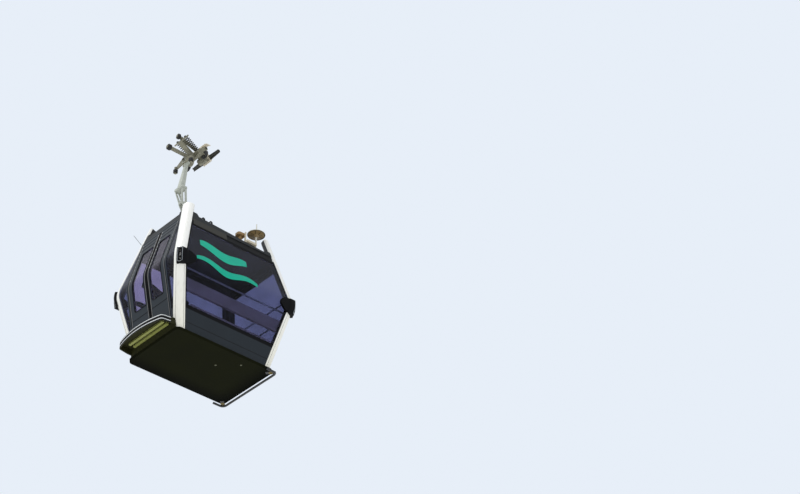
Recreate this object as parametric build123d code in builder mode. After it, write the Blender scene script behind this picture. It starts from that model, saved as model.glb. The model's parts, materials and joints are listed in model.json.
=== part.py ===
"""Ten-seat cable car cabin with its bent hanger and spring-closed rope grip.

Millimetres. The origin is on the rope's axis at the middle of the grip. +X is the way of travel along
the rope, +Z is up, and the doors are on the -Y side. Heights of the cabin are counted from the underside
of its corner posts, and its lengths and widths from its own middle.
"""

import os
from math import cos, radians, sin, sqrt

from build123d import *

os.makedirs("parts", exist_ok=True)

# Clearances
SEAT_GAP = 0.3
PIN_GAP = 0.05
MOVING_GAP = 6.0

# Place of the cabin under the rope
ROPE_HEIGHT = 3670.0
ROPE_TO_CABIN_MIDDLE = 160.0

# Cabin shell: half sizes of the glass planes at the floor, at the bend and at the post tops
BEND_HEIGHT = 1100.0
POST_HEIGHT = 2300.0
LENGTH_HALF = {"floor": 574.0, "bend": 813.0, "top": 511.0}
WIDTH_HALF = {"floor": 848.0, "bend": 1087.0, "top": 785.0}
BEND_RADIUS = 350.0
WALL_BEND_RADIUS = 420.0
WALL = 30.0
GLASS = 8.0

# Heights of the wall's bands
PANEL_FOOT = 4.0
PANEL_TOP = 320.0
WINDOW_FOOT = 375.0
WINDOW_HEAD = 1790.0
RIM_FOOT = 1850.0
RIM_GROOVE = {"foot": 1858.0, "head": 1950.0, "depth": 14.0}
RIM_TOP = {"door_end": 2060.0, "back": 1985.0}
DOOR_RIM = {"foot": 1985.0, "top": 2095.0}
RIM_WALL = 60.0
ROOF_TOP = 1976.0
ROOF_THICK = 36.0
BACK_PANEL_TOP = 485.0
SEAL_SIDE = 16.0

# Corner posts
POST_WIDTH = 172.0
POST_CROWN = 40.0
POST_FLANGE = 30.0
POST_GLASS_LINE = 50.0
POST_INNER_WIDTH = 70.0
POST_DEPTH = 112.0
POST_WALL = 5.0
POST_TUCK = 90.0

# Door side
DOOR_HALF = 455.0
DOOR_FOOT = 92.0
DOOR_HEAD = 1960.0
JAMB = 26.0
JAMB_PROUD = 4.0
DOOR_THICK = 34.0
LEAF_GAP = 4.0
LEAF_WINDOW = {"inner": 80.0, "outer": 340.0, "foot": 640.0, "head": 1700.0}

# Floor, step and bumpers
FLOOR_THICK = 60.0
FLOOR_DROP = 8.0
TRAY = {"proud": 26.0, "depth": 46.0, "corner": 75.0}
STEP = {"foot": 40.0, "top": 140.0, "wall": 14.0, "tread": 12.0, "flange": 8.0}
STEP_PLAN = {"wall_half": 542.0, "nose_half": 515.0, "nose": 1100.0, "bow": 1177.0, "corner": 60.0}
SLAT = {"half": 410.0, "width": 40.0, "height": 32.0, "rows": (990.0, 912.0)}
TUBE_RADIUS = 17.0
TUBE_OUT = 42.0
TUBE_END = 190.0
BUMPER = {"proud": 38.0, "past_crown": 40.0, "slot_width": 24.0, "slot_foot": 960.0, "slot_head": 1140.0}

# Inside
SEAT_HEIGHT = 440.0
BOARD_THICK = 18.0
CUSHION_THICK = 52.0
SEAT_DEPTH = 400.0
BACKREST = {"foot": 600.0, "head": 800.0, "thick": 45.0}
BENCH_DOOR_STOP = 170.0
RAIL_RADIUS = 14.0
RAIL_DEPTH = 70.0
BACK_RAILS = (870.0, 1200.0)
END_RAIL = 950.0

# Grip
ROPE_RADIUS = 25.0
JAW_HALF = 85.0
JAW_PIVOT = (-120.0, 90.0)
JAW_PIN_RADIUS = 16.0
SPRING_FOOT = (-190.0, -2.0)
SPRING_RISE = 31.0
SPRING_SPACING = 95.0
SPRING_RADIUS = 42.0
SPRING_WIRE = 6.5
SPRING_TURNS = 10
SPRING_LENGTH = 268.0
LEVER_HALF = 20.0
CHEEK_INNER = 144.0
CHEEK_THICK = 14.0
HANGER_PIN = {"z": -185.0, "radius": 25.0}
HEAD_NEAR = -303.0
HEAD_FAR = -403.0
RUNNING_WHEEL = {"radius": 48.0, "width": 52.0, "y": -690.0, "z": -90.0}
LEVER_ROLLER = {"radius": 45.0, "width": 38.0, "y": -532.0, "z": 200.0}
INNER_WHEEL = {"radius": 72.0, "width": 28.0, "x": 215.0, "y": -172.0, "z": -97.0}

# Hanger
ARM_TOP = {"z": -262.0, "y": -353.0, "x_size": 60.0, "y_size": 48.0}
ARM_FOOT = {"z": -748.0, "y": -420.0, "x_size": 96.0, "y_size": 84.0}
ELBOW_PLATE = 17.0
LEG_PLATE = 14.0
GUIDE_ROLLER = {"radius": 36.0, "height": 52.0, "x": 195.0, "y": -408.0, "z": -305.0}


def cabin_plane(axis, offset=0.0):
    """A drawing plane in the cabin's own heights: long (X across), cross (Y across) or level."""
    middle, foot = ROPE_TO_CABIN_MIDDLE, -ROPE_HEIGHT
    if axis == "long":
        return Plane(origin=(0, middle + offset, foot), x_dir=(1, 0, 0), z_dir=(0, -1, 0))
    if axis == "cross":
        return Plane(origin=(offset, middle, foot), x_dir=(0, 1, 0), z_dir=(1, 0, 0))
    return Plane(origin=(0, middle, foot + offset), x_dir=(1, 0, 0), z_dir=(0, 0, 1))


def wall_half(half, depth, z):
    """Half size of a wall at height z, depth millimetres inside its outer face."""
    if z <= BEND_HEIGHT:
        lean = (half["bend"] - half["floor"]) / BEND_HEIGHT
        return half["floor"] + lean * z - depth * sqrt(1 + lean**2)
    lean = (half["bend"] - half["top"]) / (POST_HEIGHT - BEND_HEIGHT)
    return half["bend"] - lean * (z - BEND_HEIGHT) - depth * sqrt(1 + lean**2)


def wall_knee(half, depth):
    """The sharp corner of the bend, depth millimetres inside the outer face."""
    lower = (half["bend"] - half["floor"]) / BEND_HEIGHT
    upper = (half["bend"] - half["top"]) / (POST_HEIGHT - BEND_HEIGHT)
    shift = depth * (sqrt(1 + lower**2) - sqrt(1 + upper**2)) / (lower + upper)
    z = BEND_HEIGHT + shift
    return (half["floor"] + lower * z - depth * sqrt(1 + lower**2), z)


def wall_side(half, depth, low, high):
    """Points up one face of a wall, with the bend's corner where the stretch passes it."""
    points = [(wall_half(half, depth, low), low)]
    if low < BEND_HEIGHT < high:
        points.append(wall_knee(half, depth))
    return points + [(wall_half(half, depth, high), high)]


def outline(points):
    """A closed straight-sided face."""
    with BuildSketch() as sketch:
        with BuildLine():
            Polyline(points, close=True)
        make_face()
    return sketch.sketch


def wall_band(half, outer, inner, low, high, side):
    """A wall's section between two depths and two heights, on the side +1 or -1."""
    outside = [(side * x, z) for x, z in wall_side(half, outer, low, high)]
    inside = [(side * x, z) for x, z in wall_side(half, inner, low, high)]
    with BuildSketch() as band:
        add(outline(outside + inside[::-1]))
        if low < BEND_HEIGHT < high:
            for knee, depth in ((outside[1], outer), (inside[1], inner)):
                corner = band.vertices().sort_by_distance(Vector(*knee, 0))[0]
                fillet(corner, WALL_BEND_RADIUS - depth)
    return band.sketch


def wall_field(half, inset, low, high):
    """The whole outline between two heights, inset from the outer face on both sides."""
    right = wall_side(half, inset, low, high)
    left = [(-x, z) for x, z in right]
    with BuildSketch() as field:
        add(outline(right + left[::-1]))
        if low < BEND_HEIGHT < high:
            knees = field.vertices().group_by(Axis.X)
            fillet(knees[0] + knees[-1], WALL_BEND_RADIUS)
    return field.sketch


def strip(inner, outer, low, high, side=1):
    """An upright strip between two distances from the middle."""
    return outline([(side * inner, low), (side * outer, low), (side * outer, high), (side * inner, high)])


def save(builder, name):
    """Labels a finished piece and writes it."""
    builder.part.label = name
    export_step(builder.part, f"parts/{name}.step")


def save_group(pieces, name):
    """Writes like pieces of one body, which don't touch, as one node."""
    with BuildPart() as group:
        for piece in pieces:
            add(piece.part)
    save(group, name)


# Corner posts: a crowned hollow extrusion bent in the vertical plane through each corner
corner_shift = (POST_WIDTH / 2 - POST_GLASS_LINE) / sqrt(2)
apex_floor = (LENGTH_HALF["floor"] - corner_shift, WIDTH_HALF["floor"] - corner_shift)
spread_bend = (LENGTH_HALF["bend"] - LENGTH_HALF["floor"]) * sqrt(2)
spread_top = (LENGTH_HALF["top"] - LENGTH_HALF["floor"]) * sqrt(2)
POST_RUN_OUT = 60.0


def post_section(wall=0.0):
    """Crowned face, two flanges and a narrower back, inset by the wall."""
    half, flange = POST_WIDTH / 2, POST_CROWN + POST_FLANGE
    with BuildSketch() as section:
        with BuildLine():
            ThreePointArc((-half, -POST_CROWN), (0, 0), (half, -POST_CROWN))
            Polyline(
                (half, -POST_CROWN),
                (half, -flange),
                (POST_INNER_WIDTH / 2, -POST_DEPTH),
                (-POST_INNER_WIDTH / 2, -POST_DEPTH),
                (-half, -flange),
                (-half, -POST_CROWN),
            )
        make_face()
        if wall:
            offset(amount=-wall, mode=Mode.REPLACE)
    return section.sketch


def corner_post(x_side, y_side, hollow, grow=0.0):
    """One post, hollow as it is made, or whole and perhaps grown for shaping its neighbours."""
    outward = Vector(x_side, y_side, 0).normalized()
    upright = Plane(
        origin=(x_side * apex_floor[0], ROPE_TO_CABIN_MIDDLE + y_side * apex_floor[1], -ROPE_HEIGHT),
        x_dir=outward,
        z_dir=outward.cross(Vector(0, 0, 1)),
    )
    run_out = POST_RUN_OUT * spread_bend / BEND_HEIGHT
    with BuildPart() as post:
        with BuildLine(upright) as spine:
            FilletPolyline(
                (-run_out, -POST_RUN_OUT),
                (spread_bend, BEND_HEIGHT),
                (spread_top, POST_HEIGHT),
                radius=BEND_RADIUS,
            )
        start = spine.line @ 0
        along = spine.line % 0
        face_out = (outward - along * outward.dot(along)).normalized()
        section = Plane(origin=start, x_dir=face_out.cross(along), z_dir=along)
        with BuildSketch(section):
            add(post_section(-grow))
            if hollow:
                add(post_section(POST_WALL), mode=Mode.SUBTRACT)
        sweep(path=spine.line)
        with BuildSketch(cabin_plane("level")):
            Rectangle(4000, 4000)
        extrude(amount=-400, mode=Mode.SUBTRACT)
    return post


CORNERS = ((1, -1), (-1, -1), (1, 1), (-1, 1))
save_group([corner_post(*corner, hollow=True) for corner in CORNERS], "corner_posts")
post_fillers = [corner_post(*corner, hollow=False).part for corner in CORNERS]


def trim_to_posts():
    """Cuts the piece being made back to the posts."""
    for filler in post_fillers:
        add(filler, mode=Mode.SUBTRACT)


# Floor pan with its sunk rim and corners cut to the posts
with BuildPart() as floor_pan:
    with BuildSketch(cabin_plane("cross")):
        add(wall_field(WIDTH_HALF, WALL + SEAT_GAP, -FLOOR_DROP, FLOOR_THICK - FLOOR_DROP))
    extrude(amount=LENGTH_HALF["bend"], both=True)
    with BuildSketch(cabin_plane("long")):
        add(wall_field(LENGTH_HALF, WALL + SEAT_GAP, -FLOOR_DROP, FLOOR_THICK - FLOOR_DROP))
    extrude(amount=WIDTH_HALF["bend"], both=True, mode=Mode.INTERSECT)
    trim_to_posts()
    with BuildSketch(cabin_plane("level", -FLOOR_DROP - TRAY["depth"])):
        half_long, half_wide = LENGTH_HALF["floor"] + TRAY["proud"], WIDTH_HALF["floor"] + TRAY["proud"]
        RectangleRounded(2 * half_long, 2 * half_wide, TRAY["corner"])
    extrude(amount=TRAY["depth"], taper=-6)
save(floor_pan, "floor_pan")

# Front and rear walls: lower panel, window seal and window, each following the bent side section
lower_panels, seals, windows = [], [], []
for side in (1, -1):
    with BuildPart() as panel:
        with BuildSketch(cabin_plane("long")):
            add(wall_band(LENGTH_HALF, 0, WALL, PANEL_FOOT - FLOOR_DROP, PANEL_TOP - SEAT_GAP, side))
        extrude(amount=WIDTH_HALF["bend"], both=True)
        with BuildSketch(cabin_plane("cross")):
            add(wall_field(WIDTH_HALF, POST_TUCK, PANEL_FOOT - FLOOR_DROP - 1, PANEL_TOP))
        extrude(amount=LENGTH_HALF["bend"] + 1, both=True, mode=Mode.INTERSECT)
        trim_to_posts()
    lower_panels.append(panel)

    with BuildPart() as seal:
        with BuildSketch(cabin_plane("long")):
            add(wall_band(LENGTH_HALF, 0, WALL, PANEL_TOP, RIM_FOOT - SEAT_GAP, side))
        extrude(amount=WIDTH_HALF["bend"], both=True)
        with BuildSketch(cabin_plane("cross")):
            add(wall_field(WIDTH_HALF, POST_TUCK, PANEL_TOP - 1, RIM_FOOT + 1))
        extrude(amount=LENGTH_HALF["bend"] + 1, both=True, mode=Mode.INTERSECT)
        trim_to_posts()
        with BuildSketch(cabin_plane("cross")):
            add(wall_field(WIDTH_HALF, POST_WIDTH / sqrt(2) + SEAL_SIDE, WINDOW_FOOT, WINDOW_HEAD))
        extrude(amount=side * (LENGTH_HALF["bend"] + 1), mode=Mode.SUBTRACT)
    seals.append(seal)

    with BuildPart() as window:
        with BuildSketch(cabin_plane("long")):
            low, high = WINDOW_FOOT + SEAT_GAP, WINDOW_HEAD - SEAT_GAP
            add(wall_band(LENGTH_HALF, 2, 2 + GLASS, low, high, side))
        extrude(amount=WIDTH_HALF["bend"], both=True)
        with BuildSketch(cabin_plane("cross")):
            inset = POST_WIDTH / sqrt(2) + SEAL_SIDE + SEAT_GAP
            add(wall_field(WIDTH_HALF, inset, WINDOW_FOOT - 1, WINDOW_HEAD + 1))
        extrude(amount=LENGTH_HALF["bend"] + 1, both=True, mode=Mode.INTERSECT)
    windows.append(window)

# Back wall: a taller panel under one window
with BuildPart() as back_panel:
    with BuildSketch(cabin_plane("cross")):
        add(wall_band(WIDTH_HALF, 0, WALL, PANEL_FOOT - FLOOR_DROP, BACK_PANEL_TOP - SEAT_GAP, 1))
    extrude(amount=LENGTH_HALF["bend"], both=True)
    with BuildSketch(cabin_plane("long")):
        add(wall_field(LENGTH_HALF, POST_TUCK, PANEL_FOOT - FLOOR_DROP - 1, BACK_PANEL_TOP))
    extrude(amount=WIDTH_HALF["bend"] + 1, both=True, mode=Mode.INTERSECT)
    trim_to_posts()
lower_panels.append(back_panel)

with BuildPart() as back_seal:
    with BuildSketch(cabin_plane("cross")):
        add(wall_band(WIDTH_HALF, 0, WALL, BACK_PANEL_TOP, RIM_FOOT - SEAT_GAP, 1))
    extrude(amount=LENGTH_HALF["bend"], both=True)
    with BuildSketch(cabin_plane("long")):
        add(wall_field(LENGTH_HALF, POST_TUCK, BACK_PANEL_TOP - 1, RIM_FOOT + 1))
    extrude(amount=WIDTH_HALF["bend"] + 1, both=True, mode=Mode.INTERSECT)
    trim_to_posts()
    with BuildSketch(cabin_plane("long")):
        foot = BACK_PANEL_TOP + WINDOW_FOOT - PANEL_TOP
        add(wall_field(LENGTH_HALF, POST_WIDTH / sqrt(2) + SEAL_SIDE, foot, WINDOW_HEAD))
    extrude(amount=-(WIDTH_HALF["bend"] + 1), mode=Mode.SUBTRACT)
seals.append(back_seal)
save_group(seals, "window_seals")

with BuildPart() as back_window:
    with BuildSketch(cabin_plane("cross")):
        low, high = foot + SEAT_GAP, WINDOW_HEAD - SEAT_GAP
        add(wall_band(WIDTH_HALF, 2, 2 + GLASS, low, high, 1))
    extrude(amount=LENGTH_HALF["bend"], both=True)
    with BuildSketch(cabin_plane("long")):
        inset = POST_WIDTH / sqrt(2) + SEAL_SIDE + SEAT_GAP
        add(wall_field(LENGTH_HALF, inset, BACK_PANEL_TOP, WINDOW_HEAD + 1))
    extrude(amount=WIDTH_HALF["bend"] + 1, both=True, mode=Mode.INTERSECT)
windows.append(back_window)
save_group(windows, "windows")

# Door side: a portal frame, a lower panel and a fixed window at each side of it
FRAME_DEPTH = WALL + 14.0
with BuildPart() as door_frame:
    with BuildSketch(cabin_plane("cross")):
        foot, head = DOOR_FOOT - JAMB, DOOR_RIM["foot"] - SEAT_GAP
        add(wall_band(WIDTH_HALF, -JAMB_PROUD, FRAME_DEPTH, foot, head, -1))
    extrude(amount=DOOR_HALF + JAMB, both=True)
    with BuildSketch(cabin_plane("long")):
        add(strip(-DOOR_HALF, DOOR_HALF, DOOR_FOOT, DOOR_HEAD))
    extrude(amount=WIDTH_HALF["bend"] + 10, mode=Mode.SUBTRACT)
    trim_to_posts()
save(door_frame, "door_frame")

strip_inner = DOOR_HALF + JAMB + SEAT_GAP
with BuildPart() as door_side_panels:
    with BuildSketch(cabin_plane("cross")):
        add(wall_band(WIDTH_HALF, 0, WALL, PANEL_FOOT - FLOOR_DROP, PANEL_TOP - SEAT_GAP, -1))
    extrude(amount=LENGTH_HALF["bend"], both=True)
    with BuildSketch(cabin_plane("long")):
        add(wall_field(LENGTH_HALF, POST_TUCK, PANEL_FOOT - FLOOR_DROP - 1, PANEL_TOP))
        opening = strip(-strip_inner, strip_inner, DOOR_FOOT - JAMB - SEAT_GAP, PANEL_TOP + 1)
        add(opening, mode=Mode.SUBTRACT)
    extrude(amount=WIDTH_HALF["bend"] + 1, both=True, mode=Mode.INTERSECT)
    trim_to_posts()
lower_panels.append(door_side_panels)
save_group(lower_panels, "lower_panels")

with BuildPart() as door_side_windows:
    with BuildSketch(cabin_plane("cross")):
        add(wall_band(WIDTH_HALF, 2, 2 + GLASS, PANEL_TOP, DOOR_RIM["foot"] - SEAT_GAP, -1))
    extrude(amount=LENGTH_HALF["bend"], both=True)
    with BuildSketch(cabin_plane("long")):
        add(wall_field(LENGTH_HALF, POST_TUCK, PANEL_TOP - 1, DOOR_RIM["foot"]))
        add(strip(-strip_inner, strip_inner, PANEL_TOP - 2, DOOR_RIM["foot"] + 1), mode=Mode.SUBTRACT)
    extrude(amount=WIDTH_HALF["bend"] + 1, both=True, mode=Mode.INTERSECT)
    trim_to_posts()
save(door_side_windows, "windows_door_side")

# Door leaves: bowed frames with their panes, meeting at a middle seam
panes = []
for name, side in (("front", 1), ("rear", -1)):
    with BuildPart() as leaf:
        with BuildSketch(cabin_plane("cross")):
            low, high = DOOR_FOOT + SEAT_GAP, DOOR_HEAD - SEAT_GAP
            add(wall_band(WIDTH_HALF, 0, DOOR_THICK, low, high, -1))
        extrude(amount=side * (DOOR_HALF - SEAT_GAP))
        with BuildSketch(cabin_plane("long")):
            add(strip(0, LEAF_GAP / 2, 0, POST_HEIGHT, side))
            window_box = [LEAF_WINDOW[key] for key in ("inner", "outer", "foot", "head")]
            add(strip(*window_box, side))
        extrude(amount=WIDTH_HALF["bend"] + 10, mode=Mode.SUBTRACT)
    save(leaf, f"door_leaf_{name}")

    with BuildPart() as pane:
        with BuildSketch(cabin_plane("cross")):
            low = LEAF_WINDOW["foot"] + SEAT_GAP
            high = LEAF_WINDOW["head"] - SEAT_GAP
            add(wall_band(WIDTH_HALF, 6, 6 + GLASS, low, high, -1))
        width = LEAF_WINDOW["outer"] - LEAF_WINDOW["inner"] - 2 * SEAT_GAP
        extrude(amount=side * (LEAF_WINDOW["inner"] + SEAT_GAP + width))
        with BuildSketch(cabin_plane("long")):
            add(strip(0, LEAF_WINDOW["inner"] + SEAT_GAP, 0, POST_HEIGHT, side))
        extrude(amount=WIDTH_HALF["bend"] + 10, mode=Mode.SUBTRACT)
    panes.append(pane)
save_group(panes, "door_panes")

# Roof: a grooved rim that falls to the back, a deeper one over the doors, and ears that hold the posts
EAR_WIDTH = 110.0
EAR_RISE = 50.0
rim_high = DOOR_RIM["top"] + 100
rim_spread = wall_half(WIDTH_HALF, 0, RIM_FOOT)
ear_end = wall_half(WIDTH_HALF, POST_WIDTH / sqrt(2), RIM_TOP["door_end"])


def rim_line(y):
    """Height of the end rims' top at a distance from the cabin's middle, falling to the back."""
    fall = RIM_TOP["door_end"] - RIM_TOP["back"]
    return RIM_TOP["door_end"] - fall * (y + ear_end) / (2 * ear_end)


with BuildPart() as roof_rim:
    for side in (1, -1):
        with BuildPart(mode=Mode.PRIVATE) as end_rim:
            with BuildSketch(cabin_plane("long")):
                add(wall_band(LENGTH_HALF, 0, RIM_WALL, RIM_FOOT, rim_high, side))
                groove = RIM_GROOVE
                cut = wall_band(LENGTH_HALF, -1, groove["depth"], groove["foot"], groove["head"], side)
                add(cut, mode=Mode.SUBTRACT)
            extrude(amount=WIDTH_HALF["bend"], both=True)
            with BuildSketch(cabin_plane("cross")):
                add(wall_field(WIDTH_HALF, POST_TUCK, RIM_FOOT - 1, rim_high + 1))
                ends = [(rim_spread, rim_high + 2), (-rim_spread, rim_high + 2)]
                skyline = []
                for y, rise in (
                    (-rim_spread, EAR_RISE),
                    (-ear_end + EAR_WIDTH - 30, EAR_RISE),
                    (-ear_end + EAR_WIDTH, 0),
                    (ear_end - EAR_WIDTH, 0),
                    (ear_end - EAR_WIDTH + 30, EAR_RISE),
                    (rim_spread, EAR_RISE),
                ):
                    skyline.append((y, rim_line(y) + rise))
                add(outline(skyline + ends), mode=Mode.SUBTRACT)
            extrude(amount=LENGTH_HALF["bend"], both=True, mode=Mode.INTERSECT)
        add(end_rim.part)
    for side, foot, top in ((1, RIM_FOOT, RIM_TOP["back"]), (-1, DOOR_RIM["foot"], DOOR_RIM["top"])):
        ear_rise = EAR_RISE if side < 0 else 0.0
        with BuildPart(mode=Mode.PRIVATE) as side_rim:
            with BuildSketch(cabin_plane("cross")):
                add(wall_band(WIDTH_HALF, 0, RIM_WALL, foot, top + ear_rise, side))
            extrude(amount=LENGTH_HALF["bend"], both=True)
            with BuildSketch(cabin_plane("long")):
                add(wall_field(LENGTH_HALF, POST_TUCK, foot - 1, top + ear_rise + 1))
                if ear_rise:
                    span = wall_half(LENGTH_HALF, POST_WIDTH / sqrt(2) + EAR_WIDTH / 2, top)
                    add(strip(-span, span, top, top + ear_rise + 2), mode=Mode.SUBTRACT)
            extrude(amount=WIDTH_HALF["bend"], both=True, mode=Mode.INTERSECT)
        add(side_rim.part)
    trim_to_posts()
save(roof_rim, "roof_rim")

with BuildPart() as roof_panel:
    low, high = ROOF_TOP - ROOF_THICK, ROOF_TOP
    at_door, at_rim = FRAME_DEPTH + SEAT_GAP, RIM_WALL + SEAT_GAP
    with BuildSketch(cabin_plane("cross")):
        door_face = [(-x, z) for x, z in wall_side(WIDTH_HALF, at_door, low, high)]
        add(outline(wall_side(WIDTH_HALF, at_rim, low, high) + door_face[::-1]))
    extrude(amount=LENGTH_HALF["bend"], both=True)
    with BuildSketch(cabin_plane("long")):
        add(wall_field(LENGTH_HALF, at_rim, low, high))
    extrude(amount=WIDTH_HALF["bend"], both=True, mode=Mode.INTERSECT)
    trim_to_posts()
save(roof_panel, "roof_panel")


def step_outline(inset=0.0):
    """Plan of the step: straight sides that narrow outward and a bowed nose."""
    plan = STEP_PLAN
    wall_half_width, nose_half = plan["wall_half"] - inset, plan["nose_half"] - inset
    near, nose, bow = WIDTH_HALF["floor"] - 20, plan["nose"] - inset, plan["bow"] - inset
    with BuildSketch() as sketch:
        with BuildLine():
            Polyline(
                (-nose_half, -nose),
                (-wall_half_width, -nose + 170),
                (-wall_half_width, -near),
                (wall_half_width, -near),
                (wall_half_width, -nose + 170),
                (nose_half, -nose),
            )
            ThreePointArc((nose_half, -nose), (0, -bow), (-nose_half, -nose))
        make_face()
        noses = sketch.vertices().group_by(Axis.Y)[0]
        fillet(noses, plan["corner"] - inset)
    return sketch.sketch


# Bowed step under the doors: a tread over an open tray, stiffened by two slats
with BuildPart() as step:
    with BuildSketch(cabin_plane("level", STEP["foot"])):
        add(step_outline())
    extrude(amount=STEP["top"] - STEP["foot"])
    with BuildSketch(cabin_plane("level", STEP["foot"] - 1)):
        add(step_outline(STEP["wall"]))
    extrude(amount=STEP["top"] - STEP["foot"] - STEP["tread"] + 1, mode=Mode.SUBTRACT)
    with BuildSketch(cabin_plane("cross")):
        add(wall_field(WIDTH_HALF, -JAMB_PROUD - SEAT_GAP, -100, 400))
    extrude(amount=LENGTH_HALF["bend"], both=True, mode=Mode.SUBTRACT)
    with BuildSketch(cabin_plane("cross")):
        face = -JAMB_PROUD - SEAT_GAP
        add(wall_band(WIDTH_HALF, face - STEP["flange"], face, SEAT_GAP - FLOOR_DROP, STEP["top"] - 2, -1))
    extrude(amount=STEP_PLAN["wall_half"] - 4, both=True)
    trim_to_posts()
save(step, "door_step")

with BuildPart() as step_slats:
    slat_top = STEP["top"] - STEP["tread"] - SEAT_GAP
    with BuildSketch(cabin_plane("level", slat_top - SLAT["height"])):
        for row in SLAT["rows"]:
            with Locations((0, -row)):
                RectangleRounded(2 * SLAT["half"], SLAT["width"], 8)
    extrude(amount=SLAT["height"])
save(step_slats, "step_slats")

# Tube bumper round the back of the floor, with a lug under each back post
TUBE_LEVEL = -FLOOR_DROP - TRAY["depth"] - 14.0
tube_x = LENGTH_HALF["floor"] + TUBE_OUT + TUBE_RADIUS
tube_y = WIDTH_HALF["floor"] + TUBE_OUT + TUBE_RADIUS
LUG_WIDTH = 60.0
LUG_THICK = 8.0
with BuildPart() as tube_bumper:
    with BuildLine(cabin_plane("level", TUBE_LEVEL)) as tube_path:
        FilletPolyline(
            (-tube_x, tube_y - TUBE_END),
            (-tube_x, tube_y),
            (tube_x, tube_y),
            (tube_x, tube_y - TUBE_END),
            radius=70.0,
        )
    with BuildSketch(Plane(origin=tube_path.line @ 0, z_dir=tube_path.line % 0)):
        Circle(TUBE_RADIUS)
    sweep(path=tube_path.line)
    with BuildSketch(cabin_plane("level", -FLOOR_DROP - TRAY["depth"] - LUG_THICK - SEAT_GAP)):
        for side in (1, -1):
            with Locations((side * (tube_x - 62), tube_y - 62)):
                Rectangle(150, LUG_WIDTH, rotation=side * 45)
    extrude(amount=LUG_THICK)
save(tube_bumper, "tube_bumper")

# Rubber bumpers round each post's crown at the bend, tapering inward over the front or rear glass
BUMPER_OUTLINE = (
    (1160, 915),
    (1160, 1170),
    (1005, 1176),
    (870, 1150),
    (785, 1095),
    (785, 1030),
    (865, 962),
    (980, 922),
)
with BuildPart() as between_posts:
    with BuildSketch(cabin_plane("long")):
        add(wall_field(LENGTH_HALF, -SEAT_GAP, 700, 1400))
    extrude(amount=WIDTH_HALF["bend"] + 100, both=True)
    with BuildSketch(cabin_plane("cross")):
        add(wall_field(WIDTH_HALF, POST_WIDTH / sqrt(2) - 10, 700, 1400))
    extrude(amount=LENGTH_HALF["bend"] + 100, both=True, mode=Mode.INTERSECT)
pads = []
for x_side, y_side in CORNERS:
    crown = (LENGTH_HALF["bend"] - corner_shift, WIDTH_HALF["bend"] - corner_shift)
    outward = Vector(x_side, y_side, 0).normalized()
    along_crown = Vector(x_side, -y_side, 0).normalized()
    with BuildPart() as pad:
        with BuildSketch(cabin_plane("long")):
            add(wall_band(LENGTH_HALF, -BUMPER["proud"], 0, 800, 1300, x_side))
        extrude(amount=WIDTH_HALF["bend"] - 40, both=True)
        add(corner_post(x_side, y_side, hollow=False, grow=BUMPER["proud"]).part)
        with BuildSketch(cabin_plane("cross")) as pad_outline:
            add(outline([(y_side * y, z) for y, z in BUMPER_OUTLINE]))
            fillet(pad_outline.vertices(), 22)
        extrude(amount=x_side * (LENGTH_HALF["bend"] + 200), mode=Mode.INTERSECT)
        with BuildSketch(cabin_plane("level", 800)):
            past = BUMPER["past_crown"] / sqrt(2)
            reach = ((-400 - past, -400 + past), (200 - past, 200 + past), (700, -300), (100, -900))
            add(outline([(x_side * (crown[0] + x), y_side * (crown[1] + y)) for x, y in reach]))
        extrude(amount=500, mode=Mode.INTERSECT)
        crown_plane = Plane(
            origin=(x_side * crown[0], ROPE_TO_CABIN_MIDDLE + y_side * crown[1], -ROPE_HEIGHT),
            x_dir=along_crown,
            z_dir=outward,
        )
        slot_middle = (BUMPER["slot_foot"] + BUMPER["slot_head"]) / 2
        with BuildSketch(crown_plane.offset(-60)):
            with Locations((BUMPER["slot_width"] / 2 - 2, -x_side * y_side * slot_middle)):
                height = BUMPER["slot_head"] - BUMPER["slot_foot"]
                RectangleRounded(BUMPER["slot_width"], height, 10)
        extrude(amount=160, mode=Mode.SUBTRACT)
        add(between_posts.part, mode=Mode.SUBTRACT)
        trim_to_posts()
        outer_shell = pad.solids().sort_by(SortBy.VOLUME)[-1]
        add(outer_shell, mode=Mode.REPLACE)
    pads.append(pad)
save_group(pads, "corner_bumpers")

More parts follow.
